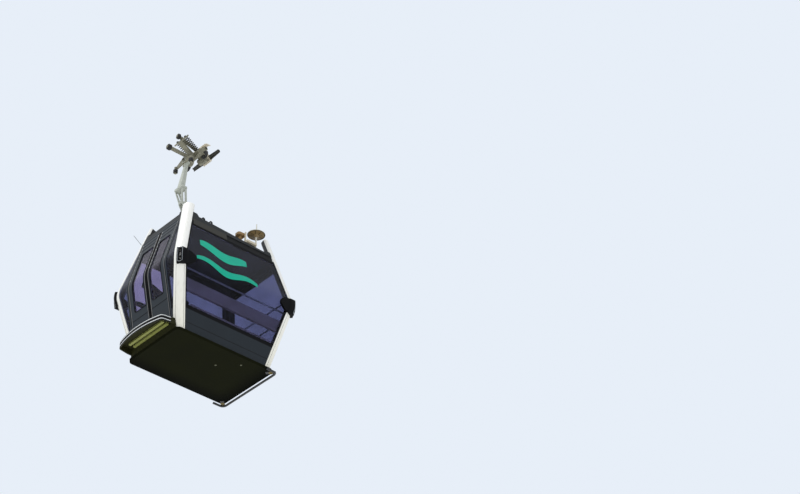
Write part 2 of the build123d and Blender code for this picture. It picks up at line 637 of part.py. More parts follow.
# Benches along the front and rear walls: a board on two leg plates, a cushion and a low padded back
glass = LENGTH_HALF["bend"]
benches, cushions, backrests = [], [], []
for side in (1, -1):
    board_low = SEAT_HEIGHT - CUSHION_THICK - BOARD_THICK
    board_high = SEAT_HEIGHT - CUSHION_THICK
    outer = wall_half(LENGTH_HALF, WALL + SEAT_GAP, board_low)
    reach = wall_half(WIDTH_HALF, WALL + 20, board_low)
    with BuildPart() as bench:
        with BuildSketch(cabin_plane("long")):
            lean = wall_half(LENGTH_HALF, WALL + SEAT_GAP, board_high)
            front = outer - SEAT_DEPTH
            section = [(outer, board_low), (lean, board_high), (front, board_high), (front + 8, board_low)]
            add(outline([(side * x, z) for x, z in section]))
        extrude(amount=reach, both=True)
        with BuildSketch(cabin_plane("cross")):
            add(strip(-reach + BENCH_DOOR_STOP, reach, 0, SEAT_HEIGHT + 1))
        extrude(amount=glass, both=True, mode=Mode.INTERSECT)
        with BuildSketch(cabin_plane("level", FLOOR_THICK - FLOOR_DROP + SEAT_GAP)):
            for y in (-reach / 2, reach / 2):
                with Locations((side * (outer - SEAT_DEPTH / 2 - 30), y)):
                    Rectangle(260, 12)
        extrude(amount=board_low - FLOOR_THICK + FLOOR_DROP)
        trim_to_posts()
    benches.append(bench)

    with BuildPart() as cushion:
        with BuildSketch(cabin_plane("long")):
            foot = board_high + SEAT_GAP
            root = wall_half(LENGTH_HALF, WALL + SEAT_GAP, foot)
            lean = wall_half(LENGTH_HALF, WALL + SEAT_GAP, SEAT_HEIGHT)
            section = [(root, foot), (lean, SEAT_HEIGHT), (front - 6, SEAT_HEIGHT), (front - 6, foot)]
            add(outline([(side * x, z) for x, z in section]))
        extrude(amount=reach, both=True)
        with BuildSketch(cabin_plane("cross")):
            add(strip(-reach + BENCH_DOOR_STOP + 10, reach - 10, 0, SEAT_HEIGHT + 1))
        extrude(amount=glass, both=True, mode=Mode.INTERSECT)
        front_edges = cushion.edges().filter_by(Axis.Y).group_by(Axis.X)[0 if side > 0 else -1]
        fillet(front_edges, 18)
        trim_to_posts()
    cushions.append(cushion)

    with BuildPart() as backrest:
        depth = WALL + SEAT_GAP
        with BuildSketch(cabin_plane("long")):
            back, foot, head = depth + BACKREST["thick"], BACKREST["foot"], BACKREST["head"]
            add(wall_band(LENGTH_HALF, depth, back, foot, head, side))
        extrude(amount=WIDTH_HALF["bend"], both=True)
        with BuildSketch(cabin_plane("cross")):
            add(wall_field(WIDTH_HALF, WALL + 20, BACKREST["foot"] - 1, BACKREST["head"] + 1))
        extrude(amount=glass, both=True, mode=Mode.INTERSECT)
        trim_to_posts()
    backrests.append(backrest)
save_group(benches, "benches")
save_group(cushions, "bench_cushions")
save_group(backrests, "backrests")

# Handrails across the back window and along both end windows, ending in the posts
with BuildPart() as handrails:
    for height in BACK_RAILS:
        y = wall_half(WIDTH_HALF, RAIL_DEPTH, height)
        with BuildSketch(cabin_plane("cross")):
            with Locations((y, height)):
                Circle(RAIL_RADIUS)
        extrude(amount=LENGTH_HALF["bend"] - 60, both=True)
    for side in (1, -1):
        x = wall_half(LENGTH_HALF, RAIL_DEPTH, END_RAIL)
        with BuildSketch(cabin_plane("long")):
            with Locations((side * x, END_RAIL)):
                Circle(RAIL_RADIUS)
        extrude(amount=WIDTH_HALF["bend"] - 60, both=True)
    trim_to_posts()
save(handrails, "handrails")

# Roof fittings: a dish on a stem, a case on a pedestal, the rail beside them and an aerial
DISH = {"x": 490.0, "y": 520.0, "z": 2322.0, "radius": 138.0, "depth": 26.0, "stem": 13.0, "base": 36.0}
with BuildPart() as roof_dish:
    with BuildSketch(cabin_plane("long", DISH["y"])):
        with BuildLine():
            x0, z0, r = DISH["x"], DISH["z"], DISH["radius"]
            Polyline(
                (x0, ROOF_TOP + SEAT_GAP),
                (x0 + DISH["base"], ROOF_TOP + SEAT_GAP),
                (x0 + DISH["base"], ROOF_TOP + 10),
                (x0 + DISH["stem"], ROOF_TOP + 14),
                (x0 + DISH["stem"], z0 - DISH["depth"] - 30),
                (x0 + 42, z0 - DISH["depth"]),
                (x0 + r, z0 - 10),
                (x0 + r, z0),
                (x0 + 60, z0 + 10),
                (x0 + 11, z0 + 14),
                (x0 + 8, z0 + 190),
                (x0, z0 + 190),
                close=True,
            )
        make_face()
    revolve(axis=Axis(cabin_plane("long", DISH["y"]).from_local_coords((x0, 0, 0)), (0, 0, 1)))
save(roof_dish, "roof_dish")

CASE = {"x": 420.0, "y": 270.0, "length": 115.0, "width": 135.0, "foot": 2205.0, "height": 52.0}
with BuildPart() as roof_case:
    with BuildSketch(cabin_plane("level", ROOF_TOP + SEAT_GAP)):
        with Locations((CASE["x"], CASE["y"])):
            RectangleRounded(46, 46, 6)
    extrude(amount=CASE["foot"] - ROOF_TOP)
    with BuildSketch(cabin_plane("level", CASE["foot"])) as case_plan:
        with Locations((CASE["x"], CASE["y"])):
            Rectangle(CASE["length"], CASE["width"])
        chamfer(case_plan.vertices(), 26)
    extrude(amount=CASE["height"])
    chamfer(roof_case.faces().sort_by(Axis.Z)[-1].edges(), 10)
save(roof_case, "roof_case")

BRACKET = {"x": 472.0, "web": 26.0, "reach": 574.0, "start": 300.0, "end": 478.0, "low": 2052.0, "top": 2086.0}
EYES = ((485.0, -470.0), (485.0, -330.0))
EYE = {"radius": 30.0, "height": 150.0}
with BuildPart() as roof_rail:
    arm = BRACKET
    with BuildSketch(cabin_plane("long", arm["start"])):
        web_far = arm["x"] + arm["web"]
        foot = ROOF_TOP + SEAT_GAP
        profile = [(arm["x"], foot), (web_far, foot), (web_far, arm["low"]), (arm["reach"], arm["low"])]
        add(outline(profile + [(arm["reach"], arm["top"]), (arm["x"], arm["top"])]))
    extrude(amount=arm["start"] - arm["end"])
    with BuildSketch(cabin_plane("level", arm["top"] - 1)):
        with Locations((arm["x"] + arm["web"], arm["start"] + 12)):
            RectangleRounded(24, 20, 3)
    extrude(amount=CASE["foot"] + CASE["height"] - arm["top"] + 1)
    for x, y in EYES:
        with BuildSketch(cabin_plane("cross", x - 9)):
            with Locations((y, ROOF_TOP + EYE["height"])):
                Circle(EYE["radius"])
            with Locations((y, ROOF_TOP + SEAT_GAP + EYE["height"] / 2)):
                Rectangle(EYE["radius"], EYE["height"])
            with Locations((y, ROOF_TOP + EYE["height"])):
                Circle(EYE["radius"] / 2, mode=Mode.SUBTRACT)
        extrude(amount=18)
save(roof_rail, "roof_rail")

AERIAL = {"radius": 5.0, "height": 2010.0, "reach": 128.0, "rise": 210.0}
with BuildPart() as aerial:
    lean = wall_half(LENGTH_HALF, 0, AERIAL["height"]) - corner_shift
    lean_y = wall_half(WIDTH_HALF, 0, AERIAL["height"]) - corner_shift
    outward = Vector(-1, -1, 0).normalized()
    root = Vector(-lean, ROPE_TO_CABIN_MIDDLE - lean_y, AERIAL["height"] - ROPE_HEIGHT)
    with BuildLine() as aerial_path:
        Line(root - outward * 20, root + outward * AERIAL["reach"] + Vector(0, 0, AERIAL["rise"]))
    with BuildSketch(Plane(origin=aerial_path.line @ 0, z_dir=aerial_path.line % 0)):
        Circle(AERIAL["radius"])
    sweep(path=aerial_path.line)
    trim_to_posts()
save(aerial, "aerial")

# Suspension frame: a cross beam on rubber mounts that carries the hanger's foot
BEAM = {"half": 360.0, "width": 240.0, "height": 60.0, "mount": 26.0, "mount_radius": 38.0, "reach": 290.0}
beam_foot = ROOF_TOP + BEAM["mount"] + 2 * SEAT_GAP
beam_top = beam_foot + BEAM["height"]
with BuildPart() as roof_mounts:
    with BuildSketch(cabin_plane("level", ROOF_TOP + SEAT_GAP)):
        with GridLocations(180, 2 * BEAM["reach"], 2, 2):
            Circle(BEAM["mount_radius"])
    extrude(amount=BEAM["mount"])
save(roof_mounts, "roof_mounts")

with BuildPart() as suspension_frame:
    with BuildSketch(cabin_plane("level", beam_foot)):
        Rectangle(BEAM["width"], 2 * BEAM["half"])
        with GridLocations(0, 2 * BEAM["reach"], 1, 2):
            RectangleRounded(280, 110, 30)
    extrude(amount=BEAM["height"])
    fillet(suspension_frame.edges().filter_by(Axis.Y), 8)
save(suspension_frame, "suspension_frame")

# Grip, drawn from the side: Y runs to the right and Z up
SIDE_VIEW = Plane(origin=(0, 0, 0), x_dir=(0, 1, 0), z_dir=(1, 0, 0))
ACROSS = Plane(origin=(0, 0, 0), x_dir=(-1, 0, 0), z_dir=(0, 1, 0))
SPRING_FRAME = Plane(
    origin=(0, SPRING_FOOT[0], SPRING_FOOT[1]),
    x_dir=(1, 0, 0),
    z_dir=(0, -cos(radians(SPRING_RISE)), sin(radians(SPRING_RISE))),
)
pivot_y, pivot_z = JAW_PIVOT


def rod(radius, start, finish, x=0.0, z=0.0):
    """A round bar along Y between two distances."""
    with BuildPart() as bar:
        with BuildSketch(ACROSS.offset(start)):
            with Locations((-x, z)):
                Circle(radius)
        extrude(amount=finish - start)
    return bar.part


def box(x0, x1, y0, y1, z0, z1):
    """A block between six faces."""
    with BuildPart() as block:
        with Locations(((x0 + x1) / 2, (y0 + y1) / 2, (z0 + z1) / 2)):
            Box(x1 - x0, y1 - y0, z1 - z0)
    return block.part


# Fixed jaw: a hooked casting over the rope, carried on the jaw pin's bosses
FIXED_HOOK = 60.0
PIVOT_BOSS = 46.0
OUTER_BOSS = 34.0
HUB_RADIUS = 40.0
HUB_HALF = 38.0
HUB_SLOT = 40.0
WEB_FOOT = (-84.0, -20.0)
HEEL_MIDDLE = 27.0
PLATE = {"half": 220.0, "width": 70.0, "thick": 12.0, "y": -115.0, "z": 152.0, "drop": 30.0, "bend": 165.0}
with BuildPart() as fixed_jaw:
    with BuildSketch(SIDE_VIEW):
        Circle(FIXED_HOOK)
        with Locations(JAW_PIVOT):
            Circle(PIVOT_BOSS)
        make_hull()
    extrude(amount=JAW_HALF, both=True)
    with BuildSketch(SIDE_VIEW):
        with BuildLine():
            Polyline(
                (-9, 23),
                (-70, 47),
                (-115, 40),
                (-175, 20),
                (-175, -100),
                (60, -100),
                (16, -19),
                close=True,
            )
        make_face()
    extrude(amount=JAW_HALF + 1, both=True, mode=Mode.SUBTRACT)
    with BuildSketch(SIDE_VIEW):
        Circle(ROPE_RADIUS + PIN_GAP)
    extrude(amount=JAW_HALF + 1, both=True, mode=Mode.SUBTRACT)
    for x in (-(JAW_HALF + 40) / 2, (JAW_HALF + 40) / 2):
        with BuildSketch(SIDE_VIEW.offset(x)):
            with BuildLine():
                Polyline((-150, 100), (-80, 100), (-80, PLATE["z"]), (-150, PLATE["z"]), close=True)
            make_face()
        extrude(amount=(JAW_HALF - 45) / 2, both=True)
    with BuildSketch(SIDE_VIEW):
        with Locations(JAW_PIVOT):
            Circle(OUTER_BOSS)
    extrude(amount=CHEEK_INNER, both=True)
    with BuildSketch(SIDE_VIEW):
        with Locations(JAW_PIVOT):
            Circle(JAW_PIN_RADIUS)
    extrude(amount=CHEEK_INNER + 1, both=True, mode=Mode.SUBTRACT)
    with BuildSketch(SIDE_VIEW):
        with Locations(JAW_PIVOT, (pivot_y - 120, pivot_z)):
            Circle(HUB_RADIUS + 10)
        with Locations(WEB_FOOT):
            Circle(30)
        make_hull()
    extrude(amount=HUB_SLOT, both=True, mode=Mode.SUBTRACT)
save(fixed_jaw, "fixed_jaw")

with BuildPart() as friction_plate:
    with BuildSketch(Plane(origin=(0, PLATE["y"], 0), x_dir=(1, 0, 0), z_dir=(0, -1, 0))):
        with BuildLine():
            low, high = PLATE["z"], PLATE["z"] + PLATE["thick"]
            tip, bend, drop = PLATE["half"], PLATE["bend"], PLATE["drop"]
            Polyline(
                (-bend, low),
                (bend, low),
                (tip, low - drop),
                (tip + 6, low - drop + 10),
                (bend + 4, high),
                (-bend - 4, high),
                (-tip - 6, low - drop + 10),
                (-tip, low - drop),
                close=True,
            )
        make_face()
    extrude(amount=PLATE["width"] / 2, both=True)
save(friction_plate, "friction_plate")

# Rope guides: tapered half shells that run out along the rope from both ends of the jaw
GUIDE_END = 330.0
guide_start = Plane(origin=(0, 0, 0), x_dir=(1, 0, 0), z_dir=(0, sin(radians(10)), cos(radians(10))))
with BuildPart() as rope_guides:
    for side in (1, -1):
        with BuildSketch(guide_start):
            with BuildLine():
                Polyline(
                    (side * JAW_HALF, ROPE_RADIUS + 1),
                    (side * JAW_HALF, ROPE_RADIUS + 19),
                    (side * GUIDE_END, ROPE_RADIUS + 6),
                    (side * GUIDE_END, ROPE_RADIUS + 2),
                    close=True,
                )
            make_face()
        revolve(axis=Axis.X, revolution_arc=125)
save(rope_guides, "rope_guides")

# Moving jaw: hub on the jaw pin, a grooved tip beside the rope and a heel bar that the springs push
HEEL = {"half": 136.0, "foot": 12.0, "head": 44.0, "rise": 38.0}
with BuildPart() as moving_jaw:
    with BuildSketch(SIDE_VIEW):
        with BuildLine():
            Polyline(
                (-24, 13),
                (-62, 30),
                (-100, 12),
                (-106, -34),
                (-62, -72),
                (-20, -66),
                (-6, -46),
                (-6, -10),
                close=True,
            )
        make_face()
    extrude(amount=JAW_HALF - 5, both=True)
    with BuildSketch(SIDE_VIEW):
        with Locations(JAW_PIVOT):
            Circle(HUB_RADIUS)
        with Locations(WEB_FOOT):
            Circle(20)
        make_hull()
    extrude(amount=HUB_HALF, both=True)
    with BuildSketch(SIDE_VIEW):
        with Locations(JAW_PIVOT):
            Circle(HUB_RADIUS)
        with Locations(tuple(SPRING_FRAME.offset(HEEL_MIDDLE).origin)[1:]):
            Circle(17)
        make_hull()
    extrude(amount=HUB_HALF, both=True)
    with BuildSketch(SPRING_FRAME.offset(HEEL["foot"])):
        RectangleRounded(2 * HEEL["half"], 2 * HEEL["rise"], 20)
    extrude(amount=HEEL["head"] - HEEL["foot"] - SEAT_GAP)
    with BuildSketch(SIDE_VIEW):
        Circle(ROPE_RADIUS + PIN_GAP)
        with Locations(JAW_PIVOT):
            Circle(JAW_PIN_RADIUS + PIN_GAP)
    extrude(amount=JAW_HALF + 1, both=True, mode=Mode.SUBTRACT)
    with BuildSketch(SIDE_VIEW):
        with Locations((25 - 6, -6)):
            Rectangle(50, 80)
    extrude(amount=JAW_HALF + 1, both=True, mode=Mode.SUBTRACT)
save(moving_jaw, "moving_jaw")

# Opening lever: a flat bar between the springs, ending in the roller's axle
LEVER_END = (-482.0, 192.0)
LEVER_AXLE = 12.0
LEVER_CLAMP = 34.0
roller = LEVER_ROLLER
with BuildPart() as opening_lever:
    with BuildSketch(SIDE_VIEW):
        with Locations((pivot_y - 42, pivot_z + 11)):
            Circle(20)
        with Locations(LEVER_END):
            Circle(22)
        make_hull()
    extrude(amount=LEVER_HALF, both=True)
    add(moving_jaw.part, mode=Mode.SUBTRACT)
    near, far = roller["y"] + roller["width"] / 2, roller["y"] - roller["width"] / 2
    add(rod(LEVER_AXLE, LEVER_END[0], far - MOVING_GAP - 6, z=roller["z"]))
    add(rod(LEVER_AXLE + 9, far - MOVING_GAP, far - MOVING_GAP - 6, z=roller["z"]))
save(opening_lever, "opening_lever")

# Springs: two coils between the heel bar and the crosshead
with BuildPart() as springs:
    pitch = (SPRING_LENGTH - 2 * SEAT_GAP) / SPRING_TURNS
    profile = [(SPRING_RADIUS - 2 * SPRING_WIRE, 0)]
    for turn in range(SPRING_TURNS):
        profile += [(SPRING_RADIUS - SPRING_WIRE, turn * pitch), (SPRING_RADIUS, (turn + 0.5) * pitch)]
    profile += [(SPRING_RADIUS - SPRING_WIRE, SPRING_TURNS * pitch)]
    profile += [(SPRING_RADIUS - 2 * SPRING_WIRE, SPRING_TURNS * pitch)]
    for x in (-SPRING_SPACING, SPRING_SPACING):
        seat = SPRING_FRAME.offset(HEEL["head"]).origin + Vector(x, 0, 0)
        coil_plane = Plane(origin=seat, x_dir=(1, 0, 0), z_dir=-SPRING_FRAME.y_dir)
        with BuildSketch(coil_plane):
            with BuildLine():
                Polyline([(r, h) for r, h in profile], close=True)
            make_face()
        revolve(axis=Axis(seat, SPRING_FRAME.z_dir))
save(springs, "springs")

# Grip frame: base, cheeks, spine and crosshead, the hanger's lug, the running arm and the wheel beam
CROSSHEAD_FOOT = HEEL["head"] + SPRING_LENGTH
CROSSHEAD = {"half": 142.0, "thick": 20.0, "slot": 38.0, "low": -75.0, "high": 46.0, "floor": -47.0}
SPINE = {"half": 44.0, "base_half": CHEEK_INNER + CHEEK_THICK, "base_low": -10.0, "base_high": 62.0}
LUG = {"near": -250.0, "far": HEAD_NEAR + 3.0, "boss": 56.0}
ARM_BAR = {"half": 22.0, "low": -112.0, "high": -70.0}
WHEEL_BEAM = {"half": 234.0, "near": -210.0, "far": -250.0, "low": -118.0, "high": -76.0}
AXLE = 14.0
wheel, running = INNER_WHEEL, RUNNING_WHEEL
with BuildPart() as grip_frame:
    with BuildSketch(SPRING_FRAME.offset(SPINE["base_low"])):
        low, high = CROSSHEAD["low"], CROSSHEAD["floor"]
        with Locations((0, (low + high) / 2)):
            Rectangle(2 * SPINE["base_half"], high - low)
    extrude(amount=SPINE["base_high"] - SPINE["base_low"])
    with BuildSketch(SPRING_FRAME.offset(SPINE["base_low"])):
        with Locations((0, (low + high) / 2)):
            Rectangle(2 * SPINE["half"], high - low)
    extrude(amount=CROSSHEAD_FOOT - SPINE["base_low"] + CROSSHEAD["thick"])
    with BuildSketch(SPRING_FRAME.offset(CROSSHEAD_FOOT)):
        with Locations((0, (CROSSHEAD["low"] + CROSSHEAD["high"]) / 2)):
            RectangleRounded(2 * CROSSHEAD["half"], CROSSHEAD["high"] - CROSSHEAD["low"], 24)
        with Locations((0, (CROSSHEAD["floor"] + CROSSHEAD["high"] + 20) / 2)):
            slot_height = CROSSHEAD["high"] + 20 - CROSSHEAD["floor"]
            Rectangle(2 * CROSSHEAD["slot"], slot_height, mode=Mode.SUBTRACT)
    extrude(amount=CROSSHEAD["thick"])
    for side in (1, -1):
        with BuildSketch(SIDE_VIEW.offset(side * CHEEK_INNER)):
            with Locations(JAW_PIVOT):
                Circle(OUTER_BOSS + 2)
            with Locations((-222, -54)):
                Circle(14)
            with Locations((-266, -28)):
                Circle(14)
            make_hull()
        extrude(amount=side * CHEEK_THICK)
    with BuildSketch(ACROSS.offset(LUG["near"])):
        with Locations((0, HANGER_PIN["z"])):
            Circle(LUG["boss"])
        with Locations((0, -50)):
            Rectangle(2 * SPINE["half"] + 60, 40)
        make_hull()
    extrude(amount=LUG["far"] - LUG["near"])
    add(box(-ARM_BAR["half"], ARM_BAR["half"], -655, LUG["near"] - 10, ARM_BAR["low"], ARM_BAR["high"]))
    beam = WHEEL_BEAM
    add(box(-beam["half"], beam["half"], beam["far"] - 6, beam["near"], beam["low"], beam["high"]))
    for side in (1, -1):
        inner_end = wheel["y"] + wheel["width"] / 2 + MOVING_GAP
        add(rod(AXLE, beam["near"] - 2, inner_end, x=side * wheel["x"], z=wheel["z"]))
        add(rod(AXLE + 9, inner_end, inner_end + 8, x=side * wheel["x"], z=wheel["z"]))
    outer_end = running["y"] - running["width"] / 2 - MOVING_GAP
    add(rod(AXLE, -650, outer_end, z=running["z"]))
    add(rod(AXLE + 9, outer_end, outer_end - 8, z=running["z"]))
    add(rod(HANGER_PIN["radius"], LUG["near"] + 1, LUG["far"] - 1, z=HANGER_PIN["z"]), mode=Mode.SUBTRACT)
    with BuildSketch(SIDE_VIEW):
        with Locations(JAW_PIVOT):
            Circle(JAW_PIN_RADIUS)
    extrude(amount=CHEEK_INNER + CHEEK_THICK + 1, both=True, mode=Mode.SUBTRACT)
save(grip_frame, "grip_frame")

# Pins
CAP = 8.0
with BuildPart() as jaw_pin:
    outer = CHEEK_INNER + CHEEK_THICK + SEAT_GAP
    with BuildSketch(SIDE_VIEW):
        with Locations(JAW_PIVOT):
            Circle(JAW_PIN_RADIUS)
    extrude(amount=outer, both=True)
    for side in (1, -1):
        with BuildSketch(SIDE_VIEW.offset(side * outer)):
            with Locations(JAW_PIVOT):
                Circle(JAW_PIN_RADIUS + 8)
        extrude(amount=side * CAP)
save(jaw_pin, "jaw_pin")

with BuildPart() as hanger_pin:
    cap_start = HEAD_FAR - MOVING_GAP
    add(rod(HANGER_PIN["radius"], LUG["near"], cap_start, z=HANGER_PIN["z"]))
    add(rod(HANGER_PIN["radius"] + 15, cap_start, cap_start - CAP, z=HANGER_PIN["z"]))
save(hanger_pin, "hanger_pin")

# Wheels and rollers, each with its bearing bore
ROLLERS = (
    ("running_wheel", running["radius"], running["width"], running["y"], 0.0, running["z"], AXLE),
    ("lever_roller", roller["radius"], roller["width"], roller["y"], 0.0, roller["z"], LEVER_AXLE),
    ("inner_wheel_front", wheel["radius"], wheel["width"], wheel["y"], wheel["x"], wheel["z"], AXLE),
    ("inner_wheel_rear", wheel["radius"], wheel["width"], wheel["y"], -wheel["x"], wheel["z"], AXLE),
)
for name, radius, width, y, x, z, bore in ROLLERS:
    with BuildPart() as tyre:
        with BuildSketch(Plane(origin=(x, y, z), x_dir=(0, 1, 0), z_dir=(1, 0, 0))):
            with BuildLine():
                half = width / 2
                Polyline(
                    (-half + 4, bore + PIN_GAP),
                    (-half + 4, radius * 0.6),
                    (-half, radius * 0.66),
                    (-half, radius - 5),
                    (-half + 5, radius),
                    (half - 5, radius),
                    (half, radius - 5),
                    (half, radius * 0.66),
                    (half - 4, radius * 0.6),
                    (half - 4, bore + PIN_GAP),
                    close=True,
                )
            make_face()
        revolve(axis=Axis((x, y, z), (0, 1, 0)))
    save(tyre, name)

# Hanger head: a bored hub with a square neck
with BuildPart() as hanger_head:
    add(rod(HANGER_PIN["radius"] * 2, HEAD_NEAR, HEAD_FAR, z=HANGER_PIN["z"]))
    with BuildSketch(Plane(origin=(0, ARM_TOP["y"], ARM_TOP["z"] + SEAT_GAP))):
        RectangleRounded(ARM_TOP["x_size"] + 10, ARM_TOP["y_size"] + 10, 8)
    extrude(amount=HANGER_PIN["z"] - ARM_TOP["z"])
    bore = rod(HANGER_PIN["radius"] + PIN_GAP, HEAD_NEAR + 1, HEAD_FAR - 1, z=HANGER_PIN["z"])
    add(bore, mode=Mode.SUBTRACT)
save(hanger_head, "hanger_head")

# Guide arms: a bar bored for the head's hub, drooping at both ends to the guide rollers' axles
guide = GUIDE_ROLLER
GUIDE_BAR = {"near": -382.5, "far": HEAD_FAR - 0.5, "hub_wall": 8.0, "drop": 34.0, "end": 22.0}
with BuildPart() as guide_arms:
    arm_z = guide["z"] + guide["height"] / 2 + GUIDE_BAR["drop"]
    for side in (1, -1):
        with BuildSketch(ACROSS.offset(GUIDE_BAR["near"])):
            with Locations((0, HANGER_PIN["z"])):
                Circle(HANGER_PIN["radius"] * 2 + GUIDE_BAR["hub_wall"])
            with Locations((-side * guide["x"], arm_z)):
                Circle(GUIDE_BAR["end"])
            make_hull()
        extrude(amount=GUIDE_BAR["far"] - GUIDE_BAR["near"])
        with BuildSketch(Plane(origin=(side * guide["x"], guide["y"], arm_z - GUIDE_BAR["end"]))):
            Circle(AXLE + 8)
        extrude(amount=2 * GUIDE_BAR["end"] - 4)
        with BuildSketch(Plane(origin=(0, 0, guide["z"] - guide["height"] / 2 - MOVING_GAP - 8))):
            with Locations((side * guide["x"], guide["y"])):
                Circle(AXLE + 7)
        extrude(amount=8)
        with BuildSketch(Plane(origin=(0, 0, guide["z"] - guide["height"] / 2 - MOVING_GAP - 4))):
            with Locations((side * guide["x"], guide["y"])):
                Circle(AXLE - 4)
        extrude(amount=guide["height"] + MOVING_GAP + 30)
    hub = rod(HANGER_PIN["radius"] * 2 + SEAT_GAP, HEAD_NEAR + 1, HEAD_FAR - 1, z=HANGER_PIN["z"])
    add(hub, mode=Mode.SUBTRACT)
save(guide_arms, "guide_arms")

for name, side in (("front", 1), ("rear", -1)):
    with BuildPart() as guide_roller:
        middle = (side * guide["x"], guide["y"], guide["z"])
        with BuildSketch(Plane(origin=middle, x_dir=(1, 0, 0), z_dir=(0, -1, 0))):
            with BuildLine():
                half, radius = guide["height"] / 2, guide["radius"]
                Polyline(
                    (AXLE - 4 + PIN_GAP, -half + 3),
                    (radius * 0.6, -half + 3),
                    (radius * 0.66, -half),
                    (radius - 4, -half),
                    (radius, -half + 4),
                    (radius, half - 4),
                    (radius - 4, half),
                    (radius * 0.66, half),
                    (radius * 0.6, half - 3),
                    (AXLE - 4 + PIN_GAP, half - 3),
                    close=True,
                )
            make_face()
        revolve(axis=Axis(middle, (0, 0, 1)))
    save(guide_roller, f"guide_roller_{name}")

# Hanger arm, elbow plates and the forked leg that reaches back over the roof
with BuildPart() as hanger_arm:
    for end in (ARM_TOP, ARM_FOOT):
        with BuildSketch(Plane(origin=(0, end["y"], end["z"]), x_dir=(1, 0, 0), z_dir=(0, 0, 1))):
            RectangleRounded(end["x_size"], end["y_size"], 8)
    loft(ruled=True)
save(hanger_arm, "hanger_arm")

ELBOW = {"length": 196.0, "width": 104.0}
with BuildPart() as elbow_plates:
    for count in (1, 2):
        level = ARM_FOOT["z"] - count * (ELBOW_PLATE + SEAT_GAP)
        with BuildSketch(Plane(origin=(0, ARM_FOOT["y"], level), x_dir=(1, 0, 0), z_dir=(0, 0, 1))):
            RectangleRounded(ELBOW["length"], ELBOW["width"], 12)
        extrude(amount=ELBOW_PLATE)
save(elbow_plates, "elbow_plates")

leg_top = ARM_FOOT["z"] - 2 * (ELBOW_PLATE + SEAT_GAP) - SEAT_GAP
leg_foot = beam_top - ROPE_HEIGHT + SEAT_GAP
LEG = {"head": 88.0, "waist": 42.0, "foot": 105.0, "waist_z": -1010.0, "foot_rail": 34.0}
LEG_SIDE = (
    (-468, leg_top),
    (-372, leg_top),
    (-318, -1000),
    (30, -1390),
    (300, leg_foot),
    (20, leg_foot),
    (-125, -1430),
    (-412, -1035),
)
LEG_HOLES = (
    ((-436, leg_top - 22), (-404, leg_top - 22), (-352, -985), (-386, -1000)),
    ((-366, -1052), (-318, -1052), (-28, -1385), (-85, -1400)),
    ((-62, -1440), (-4, -1430), (190, leg_foot + 34), (52, leg_foot + 34)),
)
with BuildPart() as hanger_leg:
    with BuildSketch(SIDE_VIEW):
        add(outline(LEG_SIDE))
        for hole in LEG_HOLES:
            add(outline(hole), mode=Mode.SUBTRACT)
    extrude(amount=200, both=True)
    head, waist, foot, waist_z = (LEG[key] for key in ("head", "waist", "foot", "waist_z"))
    with BuildSketch(ACROSS.offset(-600)):
        shape = [(head, leg_top + 1), (waist, waist_z), (foot, leg_foot + LEG["foot_rail"])]
        shape.append((foot, leg_foot - 1))
        add(outline(shape + [(-x, z) for x, z in shape[::-1]]))
    extrude(amount=1100, mode=Mode.INTERSECT)
    with BuildSketch(ACROSS.offset(-600)):
        upper = [(head - LEG_PLATE, leg_top - LEG_PLATE), (waist - LEG_PLATE, waist_z + 20)]
        add(outline(upper + [(-x, z) for x, z in upper[::-1]]))
        lower = [(waist - LEG_PLATE, waist_z - 20), (foot - LEG_PLATE - 8, leg_foot + LEG["foot_rail"])]
        add(outline(lower + [(-x, z) for x, z in lower[::-1]]))
    extrude(amount=1100, mode=Mode.SUBTRACT)
save(hanger_leg, "hanger_leg")
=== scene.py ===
import json
import math

import bmesh
import bpy
from mathutils import Matrix, Vector
from mathutils.bvhtree import BVHTree


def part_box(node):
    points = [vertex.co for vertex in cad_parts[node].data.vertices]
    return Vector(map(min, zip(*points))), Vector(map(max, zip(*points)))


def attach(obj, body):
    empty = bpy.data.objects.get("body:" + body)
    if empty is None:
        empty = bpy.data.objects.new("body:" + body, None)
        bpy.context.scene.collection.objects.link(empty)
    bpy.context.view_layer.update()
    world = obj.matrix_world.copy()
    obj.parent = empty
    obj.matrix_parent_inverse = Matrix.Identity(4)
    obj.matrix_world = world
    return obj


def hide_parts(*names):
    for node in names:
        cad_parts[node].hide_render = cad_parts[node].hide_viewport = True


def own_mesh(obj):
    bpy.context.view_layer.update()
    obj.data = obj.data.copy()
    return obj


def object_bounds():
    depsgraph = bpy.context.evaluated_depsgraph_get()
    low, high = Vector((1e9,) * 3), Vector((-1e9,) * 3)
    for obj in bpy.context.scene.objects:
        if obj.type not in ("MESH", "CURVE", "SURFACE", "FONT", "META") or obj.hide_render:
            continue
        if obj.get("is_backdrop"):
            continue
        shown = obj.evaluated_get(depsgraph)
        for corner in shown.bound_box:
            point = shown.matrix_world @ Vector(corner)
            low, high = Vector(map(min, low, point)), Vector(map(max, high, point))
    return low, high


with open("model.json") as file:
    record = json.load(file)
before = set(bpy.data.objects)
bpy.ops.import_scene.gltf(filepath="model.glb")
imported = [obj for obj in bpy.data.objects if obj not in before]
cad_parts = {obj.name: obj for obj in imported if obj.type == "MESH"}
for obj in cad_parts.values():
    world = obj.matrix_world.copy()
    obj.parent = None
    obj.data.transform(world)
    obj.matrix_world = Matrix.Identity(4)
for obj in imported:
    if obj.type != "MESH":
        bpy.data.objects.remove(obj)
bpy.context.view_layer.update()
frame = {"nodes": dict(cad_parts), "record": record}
nodes = frame["nodes"]
scene = bpy.context.scene


# The cabin's middle and the underside of its posts, and the height of its bend over them, in metres
MIDDLE_Y, FOOT_Z, BEND_Z = 0.160, -3.670, 1.100
SIDES = (1, -1)


